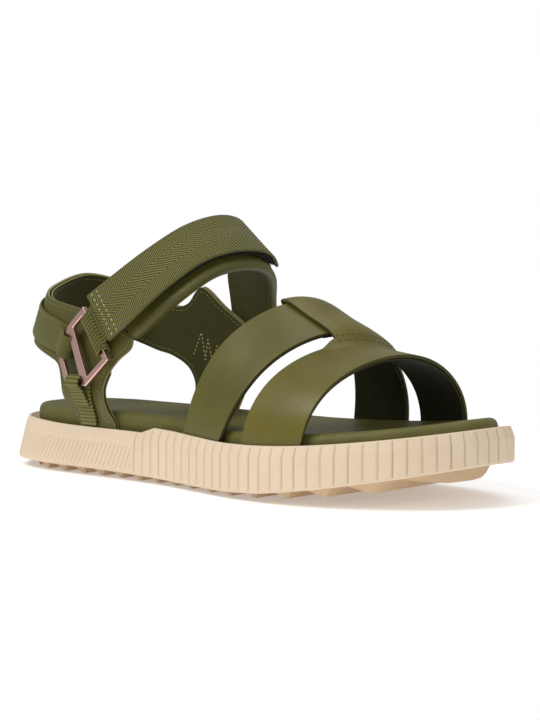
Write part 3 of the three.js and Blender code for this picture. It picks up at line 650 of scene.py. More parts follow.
def makeMidsole():
    loop, inward = outlineStations(sole["stations"])
    skirtInside = sole["treadInset"] - sole["clearance"]
    underside = lambda at: toeRise(at) + sole["treadTop"] + sole["clearance"]
    lower = [(skirtInside, underside), (skirtInside, skirtAt), (0.9, skirtAt),
             (0.35, lambda at: skirtAt(at) + 0.25), (0.05, lambda at: skirtAt(at) + 0.8)]
    rims = [(lambda at: flareAt(at) + sole["chamfer"] + 0.15, lambda at: rimAt(at) - 0.15),
            (lambda at: flareAt(at) + sole["chamfer"] + 0.45, rimAt), (wallInset, rimAt), (wallInset, floorAt)]
    below, above = ([ringRow(loop, inward, *pair) for pair in part] for part in (lower, rims))
    middle, grooved = wallRows(loop, inward, distanceRound(loop, sole["stations"]))
    piece = ringMesh("midsole_wall", below + middle + above, wallRubberGrooveShade)
    plain = np.zeros(len(loop))
    depths = [plain] * len(below) + grooved + [plain] * len(above)
    # The groove depth also sets the painted shade in the wall's colour.
    attribute = piece.data.attributes.new("groove", "FLOAT", "POINT")
    attribute.data.foreach_set("value", np.concatenate(depths))
    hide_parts("midsole")
    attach(piece, "sandal")


makeMidsole()


# Footbed: a leather cover wrapped over foam, with a rolled edge and a shallow dish.
footbed = {
    "stations": 190, "spineEnds": (40, 48),
    "roll": [(0.0, 4.2), (0.12, 2.9), (0.5, 1.7), (1.15, 0.8), (2.1, 0.22), (3.4, 0.0)],
    "dish": [(0.07, 0.1), (0.16, 0.42), (0.28, 0.85), (0.43, 1.15), (0.62, 1.28), (0.85, 1.3)],
}


def makeFootbed():
    loop, inward = outlineStations(footbed["stations"])
    edge = lambda at: slotOuter(at) + footbedGap
    base = lambda at: floorAt(at) + sole["boardThickness"] + 2 * sole["clearance"]
    rows = [ringRow(loop, inward, edge, base)]
    for extra, below in footbed["roll"]:
        rows.append(ringRow(loop, inward, lambda at: edge(at) + extra, lambda at: footbedAt(at) - below))
    # The dished top closes towards a line down the middle of the foot.
    rim = rows[-1][:, :2]
    heelEnd, toeEnd = footbed["spineEnds"]
    spineX = np.clip(rim[:, 0], heelEnd, soleLength - toeEnd)
    spineY = (halfWidthAt(medial, spineX) - halfWidthAt(lateral, spineX)) / 2
    spine = np.column_stack([spineX, spineY])
    for share, below in footbed["dish"]:
        flat = rim + (spine - rim) * share
        rows.append(np.column_stack([flat, footbedAt(flat[:, 0]) - below]))
    piece = ringMesh("footbed_leather", rows, footbedLeather)
    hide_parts("footbed_cover")
    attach(piece, "sandal")


makeFootbed()
print("sole and footbed made")

# Straps over the forefoot.
toeStrap = {"back": [0.65, 0.68, 0.733, 0.748, 0.748], "front": [0.765, 0.795, 0.836, 0.846, 0.844],
            "crest": [61.5, 58]}
instepStrap = {"back": [0.49, 0.547, 0.632, 0.632, 0.607], "front": [0.585, 0.654, 0.718, 0.727, 0.715],
               "crest": [79, 67]}
uprightShare = 0.09


def archSurface(strap):
    def at(u, v):
        side = lateral if u < 0.5 else medial
        station = 0 if u < 0.5 else 4
        footX = along(lerp(strap["back"][station], strap["front"][station], v))

        def xAt(t):
            return along(lerp(smoothThrough(strap["back"], t), smoothThrough(strap["front"], t), v))
        x = xAt(u)
        upright = min(u, uprightShare) if u < 0.5 else max(u, 1 - uprightShare)
        reach = halfWidthAt(side, xAt(upright)) - slotOuter(footX) - strapStack
        foot = upperFoot + toeRise(footX)
        spring = rimAt(footX) + 2
        fromFoot = min(u, 1 - u)
        if fromFoot < uprightShare:
            return np.array([x, side * reach, lerp(foot, spring, fromFoot / uprightShare)])
        angle = (math.pi / 2) * (fromFoot - uprightShare) / (0.5 - uprightShare)
        top = lerp(strap["crest"][0], strap["crest"][1], v) - strapStack
        return np.array([x, side * reach * math.cos(angle), spring + (top - spring) * math.sin(angle)])
    return at


toeSurface = archSurface(toeStrap)
instepSurface = archSurface(instepStrap)
leatherMiddle = upper["lining"] + upper["clearance"] + upper["leather"] / 2
liningMiddle = upper["lining"] / 2

tongue = {"width": 28.0, "centre": 0.552, "lift": 0.55, "start": 0.3, "leave": 0.14, "fillet": 0.32,
          "netAround": 150, "netAcross": 26, "rows": 96}
tongueOver = strapStack + upper["clearance"] + upper["leather"] / 2
tongueUnder = -upper["clearance"] - upper["leather"] / 2
tonguePath = [(toeSurface, tongue["start"], leatherMiddle), (toeSurface, tongue["leave"], strapStack),
              (instepSurface, 1.02, tongueOver), (instepSurface, 0.5, tongueOver),
              (instepSurface, 0, tongueOver), (instepSurface, -0.13, (tongueOver + tongueUnder) / 2),
              (instepSurface, 0, tongueUnder), (instepSurface, 0.5, tongueUnder),
              (instepSurface, 0.92, tongueUnder)]
crestReach = halfWidthAt(lateral, along(instepStrap["back"][0])) - sole["wallThickness"]
tongueShare = math.asin(tongue["width"] / 2 / crestReach) / math.pi * (1 - 2 * uprightShare)


def offsetPoint(at, u, v, offset):
    inside = clamp(v, 0, 1)
    across = (at(u, 1) - at(u, 0)) * (v - inside)
    return at(u, inside) + across + surfaceNormal(at, u, inside) * offset


def tonguePoint(u, place):
    points = [offsetPoint(at, u, v, offset) for at, v, offset in tonguePath]
    return curvePoint(points, clamp(place / (len(points) - 1), 0, 1))


# Place along the tongue's path of a share across the toe strap.
def pathPlace(v):
    if v > tongue["leave"]:
        return (tongue["start"] - v) / (tongue["start"] - tongue["leave"])
    return 1 + (tongue["leave"] - v) / tongue["leave"] * tongue["lift"]


# The band's back part rises into the tongue, with a fillet on each side of it.
def bandPoint(u, v):
    flat = offsetPoint(toeSurface, u, v, leatherMiddle)
    if v >= tongue["start"]:
        return flat
    outside = max(0.0, abs(u - tongue["centre"]) - tongueShare)
    weight = 1 - clamp(outside / (tongueShare * tongue["fillet"]), 0, 1)
    weight = weight * weight * (3 - 2 * weight)
    return flat if weight <= 0 else lerp(flat, tonguePoint(u, pathPlace(v)), weight)


# One cut piece: the band over the toes and the tongue that folds round the instep strap.
def makeToeStrap():
    us = np.linspace(0, 1, tongue["netAround"] + 1)
    vs = np.linspace(0, 1, tongue["netAcross"] + 1)
    bm = bmesh.new()
    uv = bm.loops.layers.uv.new("length")
    grid = [[bm.verts.new(placed(bandPoint(u, v))) for v in vs] for u in us]
    middle = [column[len(vs) // 2].co for column in grid]
    runs = np.concatenate([[0], np.cumsum([(b - a).length for a, b in zip(middle, middle[1:])])])
    halfway = grid[len(us) // 2]
    bandWidth = (halfway[0].co - halfway[-1].co).length
    spots = {vert: (run, bandWidth * v) for column, run in zip(grid, runs) for vert, v in zip(column, vs)}
    inside = [i for i, u in enumerate(us) if abs(u - tongue["centre"]) <= tongueShare]
    rows = [[grid[i][0] for i in inside]]
    back = 0.0
    for place in np.linspace(1 + tongue["lift"], len(tonguePath) - 1.001, tongue["rows"])[1:]:
        row = [bm.verts.new(placed(tonguePoint(us[i], place))) for i in inside]
        back -= (row[len(row) // 2].co - rows[-1][len(row) // 2].co).length
        spots.update({vert: (runs[i], back) for i, vert in zip(inside, row)})
        rows.append(row)
    for a, b in zip(grid, grid[1:]):
        for j in range(len(vs) - 1):
            bm.faces.new((a[j], a[j + 1], b[j + 1], b[j]))
    for a, b in zip(rows, rows[1:]):
        for k in range(len(a) - 1):
            bm.faces.new((b[k], a[k], a[k + 1], b[k + 1]))
    for face in bm.faces:
        for loop in face.loops:
            loop[uv].uv = spots[loop.vert]
    mesh = bpy.data.meshes.new("toe_strap_leather")
    bm.to_mesh(mesh)
    bm.free()
    piece = newObject("toe_strap_leather", mesh, tongueLeather, strapEdge)
    thicken(piece, upper["leather"])
    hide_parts("toe_strap")
    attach(piece, "sandal")


# A layer of a strap's surface with its thickness.
def makeLayer(name, at, offset, thickness, spans, net, materials, node, body="sandal", edge=(0.35, 3)):
    piece = surfaceSheet(name, at, *spans, net, offset, *materials)
    thicken(piece, thickness, *edge)
    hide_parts(node)
    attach(piece, body)


makeToeStrap()
makeLayer("instep_strap_leather", instepSurface, leatherMiddle, upper["leather"], ((0, 1), (0, 1)), (130, 24),
          (strapLeather, strapEdge), "instep_strap")
for strapName, strapSurface in (("instep_strap", instepSurface), ("toe_strap", toeSurface)):
    makeLayer(strapName + "_inside", strapSurface, liningMiddle, upper["lining"], ((0, 1), (0.02, 0.98)),
              (110, 14), (strapLining, darkEdge), strapName + "_lining")
print("straps made")


# Heel: flat patterns wrapped round it. A pattern point is (distance from the back, height).
quarterArc = math.pi / 2 * heelRound["radius"]


def sideReach(side, x, z):
    stand = clamp(x, along(heelRound["pillars"][0]), along(heelRound["pillars"][1]))
    foot = halfWidthAt(side, stand) - slotOuter(stand) - quarterStack
    rim = rimAt(stand) + 1
    if z <= rim:
        return foot
    full = heelRound["half"][side]
    if z < heelRound["bulge"]:
        t = (z - rim) / (heelRound["bulge"] - rim)
        return lerp(foot, full, t * t * (3 - 2 * t))
    above = max(0, (z - heelRound["collarBottom"]) / (heelRound["collarTop"] - heelRound["collarBottom"]))
    return lerp(full, heelRound["topHalf"], above ** 1.3)


def heelSurface(s, z):
    side = lateral if s < 0 else medial
    centre = along(heelRound["centre"])
    x = centre + max(0, abs(s) - quarterArc)
    reach = sideReach(side, x, z)
    back = heelRound["backAtCollar"] + (z - heelRound["collarBottom"]) * heelRound["lean"]
    if abs(s) > quarterArc:
        return np.array([x, side * reach, z])
    angle = s / heelRound["radius"]
    return np.array([centre - (centre - back) * math.cos(angle), side * reach * math.sin(abs(angle)), z])


def rounds(side, x):
    return side * (x - along(heelRound["centre"]) + quarterArc)


def wrapPoint(s, z, offset):
    return heelSurface(s, z) + surfaceNormal(heelSurface, s, z) * offset


def quarterPattern():
    out = lambda x, z: (rounds(lateral, along(x)), z)
    inn = lambda x, z: (rounds(medial, along(x)), z)
    foot = upperFoot + upper["clearance"]
    return [
        (0, 88.5), (-23, 83.5), out(0.179, 77), out(0.25, 73.5), out(0.305, 70.5), out(0.355, 66),
        out(0.383, 61.5), out(0.382, 58), out(0.35, 52), out(0.323, 44.8), out(0.31, 37.5), out(0.309, 29.4),
        out(0.32, 23), out(0.322, foot + 1.2), out(0.318, foot), out(0.232, foot), out(0.228, foot + 1.2),
        out(0.228, 22.6), out(0.21, 33), out(0.208, 41), out(0.2, 49), out(0.18, 52), (-38, 57), (-24, 60),
        (0, 61.5), (26, 59.5), inn(0.176, 52.5), inn(0.22, 50), inn(0.262, 44), inn(0.282, 32),
        inn(0.283, 22), inn(0.283, foot + 1.2), inn(0.287, foot), inn(0.39, foot), inn(0.394, foot + 1.2),
        inn(0.392, 28), inn(0.4, 43), inn(0.425, 54), inn(0.43, 59), inn(0.395, 66), inn(0.348, 74.3),
        inn(0.315, 81.5), inn(0.302, 83), inn(0.287, 81), inn(0.265, 75.5), inn(0.24, 73.7),
        inn(0.21, 75.5), inn(0.178, 78.5), (36, 82.5), (20, 86.5),
    ]


def smoothOutline(points, spacing, limit=None):
    knots = [np.array(p, float) for p in points]
    length = sum(np.linalg.norm(b - a) for a, b in zip(knots, knots[1:] + knots[:1]))
    outline = spacedCurve(knots, int(length / spacing), closed=True)[:-1]
    if limit is not None:
        outline[:, 0] = np.maximum(outline[:, 0], limit)
        keep = [i for i in range(len(outline)) if np.linalg.norm(outline[i] - outline[i - 1]) > 0.2]
        outline = outline[keep]
    return outline


# A pattern cut from its outline, filled with an even net of points and wrapped round the heel.
def wrapPattern(name, outline, offset, spacing, *materials):
    lo, hi = outline.min(0), outline.max(0)
    net = [Vector((s, z)) for k, z in enumerate(np.arange(lo[1], hi[1], spacing * 0.87))
           for s in np.arange(lo[0] + (k % 2) * spacing / 2, hi[0], spacing)]
    border = [Vector(p) for p in outline]
    near = np.array([[p.x, p.y] for p in net])
    gaps = np.min(np.linalg.norm(near[:, None] - outline[None], axis=2), axis=1)
    net = [p for p, gap in zip(net, gaps) if gap > spacing * 0.55]
    edges = [(i, (i + 1) % len(border)) for i in range(len(border))]
    points, _, faces, *_ = geometry.delaunay_2d_cdt(border + net, edges, [], 1, 1e-4)
    spots = [(p.x, p.y) for p in points]
    mesh = bpy.data.meshes.new(name)
    wrapped = [tuple(placed(wrapPoint(s, z, offset))) for s, z in spots]
    mesh.from_pydata(wrapped, [], [tuple(f) for f in faces])
    layer = mesh.uv_layers.new(name="length")
    for loop in mesh.loops:
        s, z = spots[loop.vertex_index]
        layer.data[loop.index].uv = (s * mm, z * mm)
    first = mesh.polygons[0]
    if first.normal.dot(Vector(surfaceNormal(heelSurface, *spots[first.vertices[0]]))) < 0:
        mesh.flip_normals()
    return newObject(name, mesh, *materials)


quarter = {"outlineStep": 1.6, "netStep": 2.6, "middle": quarterStack - upper["leather"] / 2,
           "liningFront": 0.325}
quarterOutline = smoothOutline(quarterPattern(), quarter["outlineStep"])


def makeQuarter():
    piece = wrapPattern("quarter_leather_piece", quarterOutline, quarter["middle"], quarter["netStep"],
                        quarterLeather, quarterEdge)
    thicken(piece, upper["leather"])
    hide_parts("quarter")
    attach(piece, "sandal")
    front = rounds(lateral, along(quarter["liningFront"]))
    inside = smoothOutline(quarterPattern(), quarter["outlineStep"], front)
    lining = wrapPattern("quarter_inside", inside, liningMiddle, quarter["netStep"], collarLining, quarterEdge)
    thicken(lining, upper["lining"], 0.25)
    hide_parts("quarter_lining")
    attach(lining, "sandal")


makeQuarter()
print("quarters made")

# Ring and tapes.
ringCorners = {"topLeft": (0.254, 66), "top": (0.287, 73.3), "right": (0.341, 52.8), "bottom": (0.29, 41.9),
               "lowerLeft": (0.246, 41.9), "left": (0.231, 51.8)}


def ringCorner(name):
    share, z = ringCorners[name]
    return np.array([along(share), ringY, z])


def makeRing():
    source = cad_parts["ring"].data
    bm = bmesh.new()
    bm.from_mesh(source)
    bmesh.ops.remove_doubles(bm, verts=bm.verts, dist=1e-6)
    bmesh.ops.dissolve_limit(bm, angle_limit=math.radians(2), verts=bm.verts, edges=bm.edges)
    mesh = bpy.data.meshes.new("ring_metal")
    bm.to_mesh(mesh)
    bm.free()
    mesh.materials.clear()
    piece = newObject("ring_metal", mesh, ringGold)
    edge = piece.modifiers.new("soft edge", "BEVEL")
    edge.width = ringMetal["edge"] * mm
    edge.segments = ringMetal["edgeSteps"]
    edge.limit_method = "ANGLE"
    edge.angle_limit = math.radians(ringMetal["edgeAngle"])
    piece.modifiers.new("even shading", "WEIGHTED_NORMAL")
    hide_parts("ring")
    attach(piece, "sandal")


makeRing()

outwards = np.array([0.0, -1.0, 0.0])
tapeRadius = tapeHole + upper["webbing"] / 2
tapeMiddle = tapeInner + upper["webbing"] / 2
heelTape = {"half": 6.6, "eyeHalf": 5.2, "steps": 90, "place": 0.42, "narrowing": 6, "fold": 9.0, "gap": 1.15}
ringTape = {"half": 5.0, "eyeHalf": 4.2, "steps": 40, "place": 0.56, "narrowing": 5, "fold": 9.0, "lift": 1.05,
            "footBack": 2, "short": 1.5}
loopTape = {"half": 9.0, "steps": 26, "turn": 300, "turnSteps": 29}
tapeTurn = {"sweep": 205, "steps": 24}


# Offsets from a bar's axis: from the foot's side, over the bar and back on the outside.
def aroundBar(tail, outward, radius, sweep, steps):
    angles = [-math.pi / 2 + math.radians(sweep) * k / steps for k in range(steps + 1)]
    return [-tail * math.cos(angle) * radius + outward * math.sin(angle) * radius for angle in angles]


# A tape through rows of points. One of its faces tells which way it has to face.
def makeTape(name, rows, material, facing, face, node, body):
    piece = gridSheet(name, rows, material, material)
    if piece.data.polygons[face].normal.dot(Vector(facing)) < 0:
        piece.data.flip_normals()
    thicken(piece, upper["webbing"] - 0.1, 0.22, 2)
    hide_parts(node)
    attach(piece, body)


def makeHeelTape():
    half, eyeHalf, steps = heelTape["half"], heelTape["eyeHalf"], heelTape["steps"]
    a, b = ringCorner("left"), ringCorner("topLeft")
    end = lerp(a, b, 0.45)
    knots = [(rounds(lateral, end[0] - 1), end[2]), (-45, 65.5), (-25, 70.5), (0, 72.5), (25, 70.5),
             (45, 65.5), (rounds(medial, along(0.235)), 61)]
    path = spacedCurve([np.array(k, float) for k in knots], steps)
    widths = np.linspace(-half, half, 11)
    rows = []
    for i, spot in enumerate(path):
        tangent = unit(path[min(i + 1, steps)] - path[max(i - 1, 0)])
        normal = np.array([-tangent[1], tangent[0]])
        rows.append([wrapPoint(*(spot + normal * w), tapeMiddle) for w in widths])
    rows = np.array(rows)[::-1]
    # The end passes behind the ring's bar, turns round it and is sewn back on the outside.
    bar = unit(b - a)
    tail = np.cross(outwards, bar)
    tail = tail if tail[0] < 0 else -tail
    middle = lerp(a, b, heelTape["place"])
    across = bar if np.dot(rows[-1][-1] - rows[-1][0], bar) > 0 else -bar
    folded = []
    for k, shift in enumerate(aroundBar(tail, outwards, tapeRadius, tapeTurn["sweep"], tapeTurn["steps"])):
        width = lerp(half, eyeHalf, min(1, k / heelTape["narrowing"]))
        folded.append([middle + shift + across * w for w in np.linspace(-width, width, 11)])
    outer = np.array(folded[-1])
    for t in np.linspace(0, 1, 11)[1:]:
        drop = lerp(0, 2 * tapeRadius - heelTape["gap"], 1 - (1 - t) ** 2)
        folded.append(list(outer + tail * (heelTape["fold"] * t) - outwards * drop))
    rows = np.concatenate([rows[:-2], np.array(folded)])
    makeTape("heel_webbing", rows, twillWebbing, (-1, 0, 0), 450, "heel_tape", "sandal")
    return rows


def makeRingTape():
    half, eyeHalf = ringTape["half"], ringTape["eyeHalf"]
    a, b = ringCorner("bottom"), ringCorner("lowerLeft")
    middle = (a + b) / 2
    footX = middle[0] - ringTape["footBack"]
    footZ = max(rimAt(footX - half), rimAt(footX + half)) + 2 * upper["clearance"]
    rows = []
    for t in np.linspace(0, 1, ringTape["steps"] + 1):
        x, z = lerp(footX, middle[0], t), lerp(footZ, middle[2] - ringTape["short"], t)
        rows.append([wrapPoint(rounds(lateral, x + w), z, tapeMiddle) for w in np.linspace(-half, half, 9)])
    down = unit(np.array([footX - middle[0], 0.0, footZ - middle[2]]))
    eye = lerp(a, b, ringTape["place"])
    for k, shift in enumerate(aroundBar(down, outwards, tapeRadius, tapeTurn["sweep"], tapeTurn["steps"])):
        turned = min(1, k / ringTape["narrowing"])
        width = lerp(half, eyeHalf, turned)
        centre = lerp(middle, eye, turned)
        rows.append([centre + shift + np.array([w, 0, 0]) for w in np.linspace(-width, width, 9)])
    # The folded end lies on the tape and is sewn down.
    turned = np.array(rows[-1])
    for t in np.linspace(0, 1, 13)[1:]:
        step = down * ringTape["fold"] * t
        x, z = middle[0] + step[0], middle[2] + step[2]
        flat = np.array([wrapPoint(rounds(lateral, x + w), z, tapeMiddle + ringTape["lift"])
                         for w in np.linspace(-eyeHalf, eyeHalf, 9)])
        rows.append(list(lerp(turned + step, flat, 1 - (1 - t) ** 2)))
    makeTape("ring_tape_webbing", rows, ribTapeWebbing, (0, -1, 0), 80, "ring_tape", "sandal")


heelTapeRows = makeHeelTape()
makeRingTape()

# Ankle strap.
closureHole = barCorner + ringMetal["closurePlay"]
webbingLateralY = ringY + closureHole - upper["clearance"]
webbingWidth = 24.0
ankleStations = [
    ((0.293, webbingLateralY, 78.5), (0.339, webbingLateralY, 62)),
    ((0.336, webbingLateralY + 1.2, 86), (0.39, webbingLateralY - 0.2, 70)),
    ((0.385, -27.5, 101), (0.456, -33, 82)), ((0.42, -13, 112), (0.5, -20, 93.5)),
    ((0.434, 4, 115.6), (0.511, -1, 98.2)), ((0.425, 19.5, 113.2), (0.506, 17, 97)),
    ((0.392, 32.5, 104), (0.48, 30.5, 91)), ((0.354, 40, 92), (0.45, 40, 79)),
    ((0.354, 43.6, 78), (0.43, 44, 65)), ((0.366, 44.4, 62), (0.412, 44.4, 52)),
]
ankleEdges = [[np.array([along(pair[k][0]), pair[k][1], pair[k][2]]) for pair in ankleStations] for k in (0, 1)]


def ankleSurface(u, v):
    t = clamp(u, 0, 1)
    rear, front = (curvePoint(edge, t) for edge in ankleEdges)
    reach = front - rear
    half = unit(reach) * webbingWidth / 2
    return (rear + front) / 2 + half * (2 * v - 1)


ankle = {"webbing": (0.0, 0.66), "hook": (0.13, 0.64), "softLoop": (0.24, 0.7), "pad": (0.045, 0.985),
         "padAcross": (-0.04, 1.13), "patch": 1.2, "foam": 1.8}
pad = {"rows": 120, "steps": 20, "edgeSteps": 8, "swell": 0.14, "groove": 0.7, "grooveAt": 0.885,
       "grooveWidth": 0.014, "roll": 0.5, "rollAt": 0.95, "rollWidth": 0.05, "frontEdge": 0.85, "rearEdge": 0.7,
       "endRows": 5, "endThickness": 0.3, "endNarrowing": 0.12, "middle": 0.58}
hookInner = -upper["clearance"] - ankle["patch"]
loopInner = hookInner - upper["clearance"] - ankle["patch"]
padOuter = loopInner - upper["clearance"]
padInner = padOuter - upper["leather"] - ankle["foam"] - upper["lining"] - 2 * upper["clearance"]


def makeClosure():
    patch = ankle["patch"]
    makeLayer("closure_herringbone", ankleSurface, upper["leather"] / 2, upper["leather"] - 0.1,
              (ankle["webbing"], (0, 1)), (120, 20), (wideWebbing, wideWebbing), "closure_webbing",
              "closure", (0.3, 3))
    makeLayer("hook_layer", ankleSurface, hookInner + patch / 2, patch - 0.1, (ankle["hook"], (0.04, 0.96)),
              (70, 10), (hookPile, hookPile), "closure_hook", "closure", (0.3, 2))
    makeLayer("loop_layer", ankleSurface, loopInner + patch / 2, patch - 0.1, (ankle["softLoop"], (0.05, 0.95)),
              (60, 10), (hookPile, hookPile), "pad_loop", "sandal", (0.3, 2))


# Narrow ribbed loop from under the webbing, round the ring's right bar and back.
def makeClosureLoop():
    a, b = ringCorner("top"), ringCorner("right")
    bar = unit(b - a)
    middle = (a + b) / 2
    tail = np.cross(outwards, bar)
    tail = tail if tail[0] > 0 else -tail
    radius = closureHole + upper["webbing"] / 2
    half = loopTape["half"]
    shares = np.linspace(0.5 - half / webbingWidth, 0.5 + half / webbingWidth, 13)
    offset = -upper["clearance"] - upper["webbing"] / 2
    rows = []
    for u in np.linspace(0.1, 0.006, loopTape["steps"]):
        rows.append([ankleSurface(u, v) + surfaceNormal(ankleSurface, u, v) * offset for v in shares])
    across = bar if np.dot(rows[-1][-1] - rows[-1][0], bar) > 0 else -bar
    for shift in aroundBar(tail, -outwards, radius, loopTape["turn"], loopTape["turnSteps"]):
        rows.append([middle + shift + across * w for w in np.linspace(-half, half, 13)])
    makeTape("closure_ribbed_loop", rows, ribLoopWebbing, (0, -1, 0), 60, "closure_loop", "closure")


# Section of the pad as (share across the webbing, offset, whether it is the lining's side).
def padSection(thick):
    lowV, highV = ankle["padAcross"]
    shares = np.linspace(0, 1, pad["steps"] + 1)
    section = []
    for t in shares:
        swell = pad["swell"] * math.sin(math.pi * t) ** 0.5
        groove = pad["groove"] * math.exp(-((t - pad["grooveAt"]) / pad["grooveWidth"]) ** 2)
        roll = pad["roll"] * math.exp(-((t - pad["rollAt"]) / pad["rollWidth"]) ** 2)
        section.append((lerp(lowV, highV, t), thick / 2 - 0.25 + swell - groove + roll, False))
    for k in range(1, pad["edgeSteps"]):
        angle = math.pi / 2 - math.pi * k / pad["edgeSteps"]
        reach = math.cos(angle) * thick / 2 / webbingWidth * pad["frontEdge"]
        section.append((highV + reach, math.sin(angle) * thick / 2, False))
    section += [(lerp(lowV, highV, 1 - t), -thick / 2, True) for t in shares]
    for k in range(1, pad["edgeSteps"]):
        angle = -math.pi / 2 - math.pi * k / pad["edgeSteps"]
        reach = math.cos(angle) * thick / 2 / webbingWidth * pad["rearEdge"]
        section.append((lowV + reach, math.sin(angle) * thick / 2, False))
    return section


# Rows of the pad along the strap. It grows thin over its last few rows at both ends.
def padRows(section):
    middle = (padOuter + padInner) / 2
    rows = []
    for i, u in enumerate(np.linspace(*ankle["pad"], pad["rows"])):
        fromEnd = min(1, min(i, pad["rows"] - 1 - i) / pad["endRows"])
        pinch = max(math.sqrt(1 - (1 - fromEnd) ** 2), pad["endThickness"])
        narrow = 1 - (1 - pinch) * pad["endNarrowing"]
        rows.append([offsetPoint(ankleSurface, u, lerp(pad["middle"], v, narrow), middle + offset * pinch)
                     for v, offset, _ in section])
    return np.array(rows)


# Padded leather tongue under the closure: a rolled front edge with a seam line behind it.
def makeAnklePad():
    section = padSection(padOuter - padInner)
    rows = padRows(section)
    count = len(section)
    run = np.concatenate([[0], np.cumsum(np.linalg.norm(np.diff(rows[:, 10], axis=0), axis=1))]) * mm
    girth = np.concatenate([[0], np.cumsum(np.linalg.norm(np.diff(rows[60], axis=0), axis=1))]) * mm
    faces, uvs, slots = [], [], []
    for i in range(len(rows) - 1):
        for j in range(count):
            k = (j + 1) % count
            faces.append((i * count + j, i * count + k, (i + 1) * count + k, (i + 1) * count + j))
            uvs.append([(run[i], girth[j]), (run[i], girth[j]), (run[i + 1], girth[j]), (run[i + 1], girth[j])])
            slots.append(1 if section[j][2] and section[k][2] else 0)
    for i, flip in ((0, True), (len(rows) - 1, False)):
        cap = [i * count + j for j in range(count)]
        faces.append(tuple(cap[::-1] if flip else cap))
        uvs.append([(0, 0)] * count)
        slots.append(0)
    mesh = bpy.data.meshes.new("ankle_pad")
    mesh.from_pydata([tuple(p) for p in placed(rows.reshape(-1, 3))], [], faces)
    layer = mesh.uv_layers.new(name="length")
    for polygon, spots in zip(mesh.polygons, uvs):
        for loop, spot in zip(polygon.loop_indices, spots):
            layer.data[loop].uv = spot
    mesh.polygons.foreach_set("material_index", slots)
    piece = newObject("ankle_pad", mesh, padLeather, collarLining)
    bm = bmesh.new()
    bm.from_mesh(mesh)
    bmesh.ops.recalc_face_normals(bm, faces=bm.faces)
    bm.to_mesh(mesh)
    bm.free()
    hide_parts("pad_leather", "pad_foam", "pad_lining")
    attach(piece, "sandal")


makeClosure()
makeClosureLoop()
makeAnklePad()
print("ankle strap made")


# Stitches: a row of thread beads set along a line by geometry nodes. Sizes are length, gap and thickness.
stitchSizes = {"quarter": (1.5, 0.7, 0.42), "anchor": (1.5, 0.45, 0.55), "closure": (1.5, 0.9, 0.6),
               "tongue": (1.7, 0.8, 0.5), "pad": (1.4, 0.7, 0.4), "heelTape": (1.5, 0.8, 0.4)}
stitchPlaces = {"quarterInset": 2.0, "closure": (0.028, 0.056), "tongue": (1.38, 1.66), "padAcross": 1.055,
                "tapeColumns": (1, 9), "tapeRows": (2, 84),
                "anchor": [(71.5, 51.5), (76.5, 61.5), (79.0, 49.0), (80.5, 58.5), (84.0, 47.5), (86.5, 55.5)]}


def stitchTree():
    tree = bpy.data.node_groups.new("stitch row", "GeometryNodeTree")
    face = tree.interface
    face.new_socket("Line", in_out="INPUT", socket_type="NodeSocketGeometry")
    for name in ("Stitch length", "Gap", "Thickness"):
        face.new_socket(name, in_out="INPUT", socket_type="NodeSocketFloat")
    face.new_socket("Thread", in_out="INPUT", socket_type="NodeSocketMaterial")
    face.new_socket("Stitches", in_out="OUTPUT", socket_type="NodeSocketGeometry")
    add = tree.nodes.new
    start, end = add("NodeGroupInput"), add("NodeGroupOutput")
    toCurve, spread = add("GeometryNodeMeshToCurve"), add("GeometryNodeCurveToPoints")
    spread.mode = "LENGTH"
    pitch = add("ShaderNodeMath")
    bead = add("GeometryNodeMeshUVSphere")
    bead.inputs["Segments"].default_value = 6
    bead.inputs["Rings"].default_value = 5
    bead.inputs["Radius"].default_value = 0.5
    size = add("ShaderNodeCombineXYZ")
    place, turn = add("GeometryNodeInstanceOnPoints"), add("FunctionNodeAlignRotationToVector")
    turn.axis = "X"
    real, paint, smooth = (add("GeometryNodeRealizeInstances"), add("GeometryNodeSetMaterial"),
                           add("GeometryNodeSetShadeSmooth"))
    for source, out, target, into in (
            (start, "Line", toCurve, 0), (toCurve, 0, spread, 0), (start, "Stitch length", pitch, 0),
            (start, "Gap", pitch, 1), (pitch, 0, spread, "Length"), (spread, "Tangent", turn, "Vector"),
            (start, "Stitch length", size, 0), (start, "Thickness", size, 1), (start, "Thickness", size, 2),
            (spread, "Points", place, "Points"), (bead, 0, place, "Instance"), (turn, 0, place, "Rotation"),
            (size, 0, place, "Scale"), (place, 0, real, 0), (real, 0, smooth, 0), (smooth, 0, paint, 0),
            (start, "Thread", paint, "Material"), (paint, 0, end, 0)):
        tree.links.new(source.outputs[out], target.inputs[into])
    return tree


stitchNodes = stitchTree()


def stitchRows(name, lines, thread, body, sizes):
    length, gap, thickness = sizes
    values = {"Stitch length": length * mm, "Gap": gap * mm, "Thickness": thickness * mm, "Thread": thread}
    points, edges = [], []
    for line in lines:
        start = len(points)
        points += [tuple(p) for p in placed(line)]
        edges += [(k, k + 1) for k in range(start, len(points) - 1)]
    mesh = bpy.data.meshes.new(name + "_line")
    mesh.from_pydata(points, edges, [])
    guide = bpy.data.objects.new(name + "_line", mesh)
    bpy.context.scene.collection.objects.link(guide)
    rows = guide.modifiers.new("stitches", "NODES")
    rows.node_group = stitchNodes
    for item in stitchNodes.interface.items_tree:
        if item.item_type == "SOCKET" and item.in_out == "INPUT" and item.name in values:
            rows[item.identifier] = values[item.name]
    bpy.context.view_layer.update()
    ready = guide.evaluated_get(bpy.context.evaluated_depsgraph_get())
    made = bpy.data.meshes.new_from_object(ready)
    made.name = name
    bpy.data.objects.remove(guide)
    piece = bpy.data.objects.new(name, made)
    bpy.context.scene.collection.objects.link(piece)
    if not made.materials:
        made.materials.append(thread)
    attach(piece, body)


